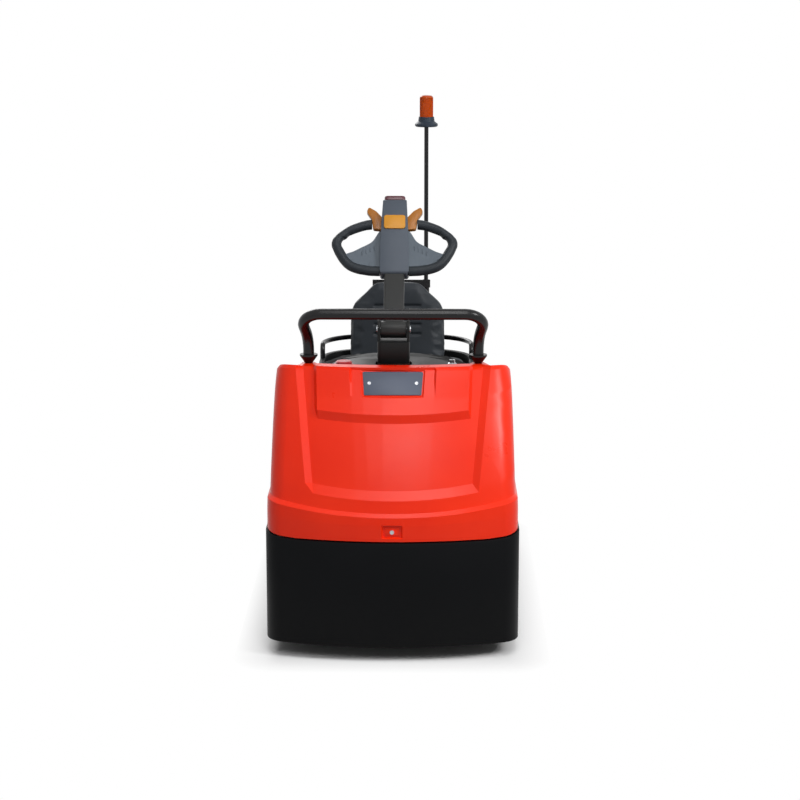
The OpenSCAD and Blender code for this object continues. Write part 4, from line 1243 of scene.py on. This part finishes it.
@dataclass
class Lamp:
    """A soft area lamp that looks at a point."""

    name: str
    place: Vector
    size: float
    power: float
    target: Vector = field(default_factory=lambda: Vector((0.0, 0.0, 0.6)))

    def build(self) -> None:
        """Adds the lamp."""
        bpy.ops.object.light_add(type="AREA", location=self.place)
        lamp = bpy.context.object
        lamp.name = self.name
        lamp.data.shape = "SQUARE"
        lamp.data.size = self.size
        lamp.data.energy = self.power
        lamp.rotation_euler = (self.target - self.place).to_track_quat("-Z", "Y").to_euler()


@dataclass
class Studio:
    """The pale floor, the white surround, the lamps and the camera.

    Attributes:
        floor_half, floor_drop, floor_pale: half the floor's width, its depth below zero and its tone.
        shadow_half, shadow_reach: half the size of the shadow's ground, and the band that turns white.
        bounce: tone of the floor for the light that it throws back.
        horizon, horizon_dip, sky: light at the foot of the sky, where that is, and light overhead.
        camera_place, camera_turn, lens, sensor: the camera's place, turn in degrees and lens.
        lamps: the lamps.
    """

    floor_half: float = 12.0
    floor_drop: float = 0.0008
    floor_pale: float = 0.92
    shadow_half: tuple[float, float, float] = (0.33, 0.70, 0.0)
    shadow_reach: float = 0.13
    bounce: float = 0.4
    horizon: float = 0.1
    horizon_dip: float = -0.1
    sky: float = 0.36
    camera_place: Vector = field(default_factory=lambda: Vector((0.098, -6.476, 1.988)))
    camera_turn: tuple[float, float, float] = (78.0, 0.0, 0.75)
    lens: float = 94.5
    sensor: float = 36.0
    lamps: tuple[Lamp, ...] = field(default_factory=lambda: (
        Lamp("key_lamp", Vector((3.9, -2.7, 3.6)), 1.5, 140.0),
        Lamp("front_box", Vector((0.4, -4.6, 3.7)), 1.7, 52.0),
        Lamp("top_box", Vector((0.4, -2.9, 5.4)), 2.0, 75.0),
        Lamp("left_fill", Vector((-3.6, -2.6, 2.2)), 2.6, 2.0),
        Lamp("back_lamp", Vector((-1.6, 4.4, 3.4)), 2.4, 80.0),
    ))

    def build(self) -> None:
        """Adds everything around the tractor."""
        self.world()
        self.floor()
        for lamp in self.lamps:
            lamp.build()
        self.camera()

    @staticmethod
    def seen(tree: Tree) -> bpy.types.NodeSocket:
        """A value of 1 for rays that show the surround to the camera, straight or by gloss or glass.

        Args:
            tree: the node tree that reads the value.

        Returns:
            The socket with the value.
        """
        path = tree.add("ShaderNodeLightPath")
        first = tree.add("ShaderNodeMath", operation="MAXIMUM")
        both = tree.add("ShaderNodeMath", operation="MAXIMUM")
        tree.join(path.outputs["Is Camera Ray"], first.inputs[0])
        tree.join(path.outputs["Is Glossy Ray"], first.inputs[1])
        tree.join(first.outputs["Value"], both.inputs[0])
        tree.join(path.outputs["Is Transmission Ray"], both.inputs[1])
        return both.outputs["Value"]

    def world(self) -> None:
        """White to the camera, and on the tractor a dimmer light that grows with height."""
        world = bpy.data.worlds.new("white_surround")
        world.use_nodes = True
        bpy.context.scene.world = world
        tree = Tree(world.node_tree)
        shown = tree.add("ShaderNodeBackground", Color=(1, 1, 1, 1), Strength=1.0)
        light = tree.add("ShaderNodeBackground", Color=(1, 1, 1, 1))
        place = tree.add("ShaderNodeTexCoord")
        axes = tree.add("ShaderNodeSeparateXYZ")
        rise = tree.add(
            "ShaderNodeMapRange", From_Min=self.horizon_dip, To_Min=self.horizon, To_Max=self.sky)
        tree.join(place.outputs["Generated"], axes.inputs["Vector"])
        tree.join(axes.outputs["Z"], rise.inputs["Value"])
        tree.join(rise.outputs["Result"], light.inputs["Strength"])
        mix, out = tree.add("ShaderNodeMixShader"), tree.add("ShaderNodeOutputWorld")
        tree.join(self.seen(tree), mix.inputs["Fac"])
        tree.join(light.outputs[0], mix.inputs[1])
        tree.join(shown.outputs[0], mix.inputs[2])
        tree.join(mix.outputs[0], out.inputs["Surface"])

    def floor(self) -> None:
        """A pale floor that takes the shadow near the tractor and turns white further out."""
        bpy.ops.mesh.primitive_grid_add(
            x_subdivisions=8, y_subdivisions=8, size=2 * self.floor_half,
            location=(0, 0, -self.floor_drop))
        obj = settle(named("studio_floor"))
        made = bpy.data.materials.new("pale_floor")
        made.use_nodes = True
        tree = Tree(made.node_tree)
        place = tree.add("ShaderNodeTexCoord")
        both_sides = tree.add("ShaderNodeVectorMath", operation="ABSOLUTE")
        past = tree.add("ShaderNodeVectorMath", operation="SUBTRACT")
        past.inputs[1].default_value = self.shadow_half
        outside = tree.add("ShaderNodeVectorMath", operation="MAXIMUM")
        far = tree.add("ShaderNodeVectorMath", operation="LENGTH")
        reach = tree.add("ShaderNodeMapRange", From_Max=self.shadow_reach)
        seen = self.seen(tree)
        gate = tree.add("ShaderNodeMath", operation="MULTIPLY")
        pale = tree.add("ShaderNodeBsdfDiffuse", Color=(*[self.floor_pale] * 3, 1))
        dim = tree.add("ShaderNodeBsdfDiffuse", Color=(*[self.bounce] * 3, 1))
        near = tree.add("ShaderNodeMixShader")
        white = tree.add("ShaderNodeEmission", Color=(1, 1, 1, 1), Strength=1.0)
        mix, out = tree.add("ShaderNodeMixShader"), tree.add("ShaderNodeOutputMaterial")
        tree.join(place.outputs["Object"], both_sides.inputs[0])
        tree.join(both_sides.outputs["Vector"], past.inputs[0])
        tree.join(past.outputs["Vector"], outside.inputs[0])
        tree.join(outside.outputs["Vector"], far.inputs[0])
        tree.join(far.outputs["Value"], reach.inputs["Value"])
        tree.join(reach.outputs["Result"], gate.inputs[0])
        tree.join(seen, gate.inputs[1])
        tree.join(seen, near.inputs["Fac"])
        tree.join(dim.outputs[0], near.inputs[1])
        tree.join(pale.outputs[0], near.inputs[2])
        tree.join(gate.outputs["Value"], mix.inputs["Fac"])
        tree.join(near.outputs[0], mix.inputs[1])
        tree.join(white.outputs[0], mix.inputs[2])
        tree.join(mix.outputs[0], out.inputs["Surface"])
        obj.data.materials.append(made)

    def camera(self) -> None:
        """The camera, at the photograph's place."""
        bpy.ops.object.camera_add(
            location=self.camera_place, rotation=[math.radians(turn) for turn in self.camera_turn])
        camera = bpy.context.object
        camera.name = "front_camera"
        camera.data.lens = self.lens
        camera.data.sensor_width = self.sensor
        bpy.context.scene.camera = camera
        bpy.context.scene.view_settings.view_transform = "Standard"


def main() -> None:
    """Dresses the tractor, piece by piece, and sets up the studio."""
    logging.basicConfig(level=logging.INFO, format="%(message)s")
    for node, obj in frame["nodes"].items():
        paint(obj, SLOT_OF[node])
    for assembly in (Panels, RoundParts, Mouldings, Hardware, Tiller, Beacon, Padding, Studio):
        assembly().build()


if __name__ == "__main__":
    main()
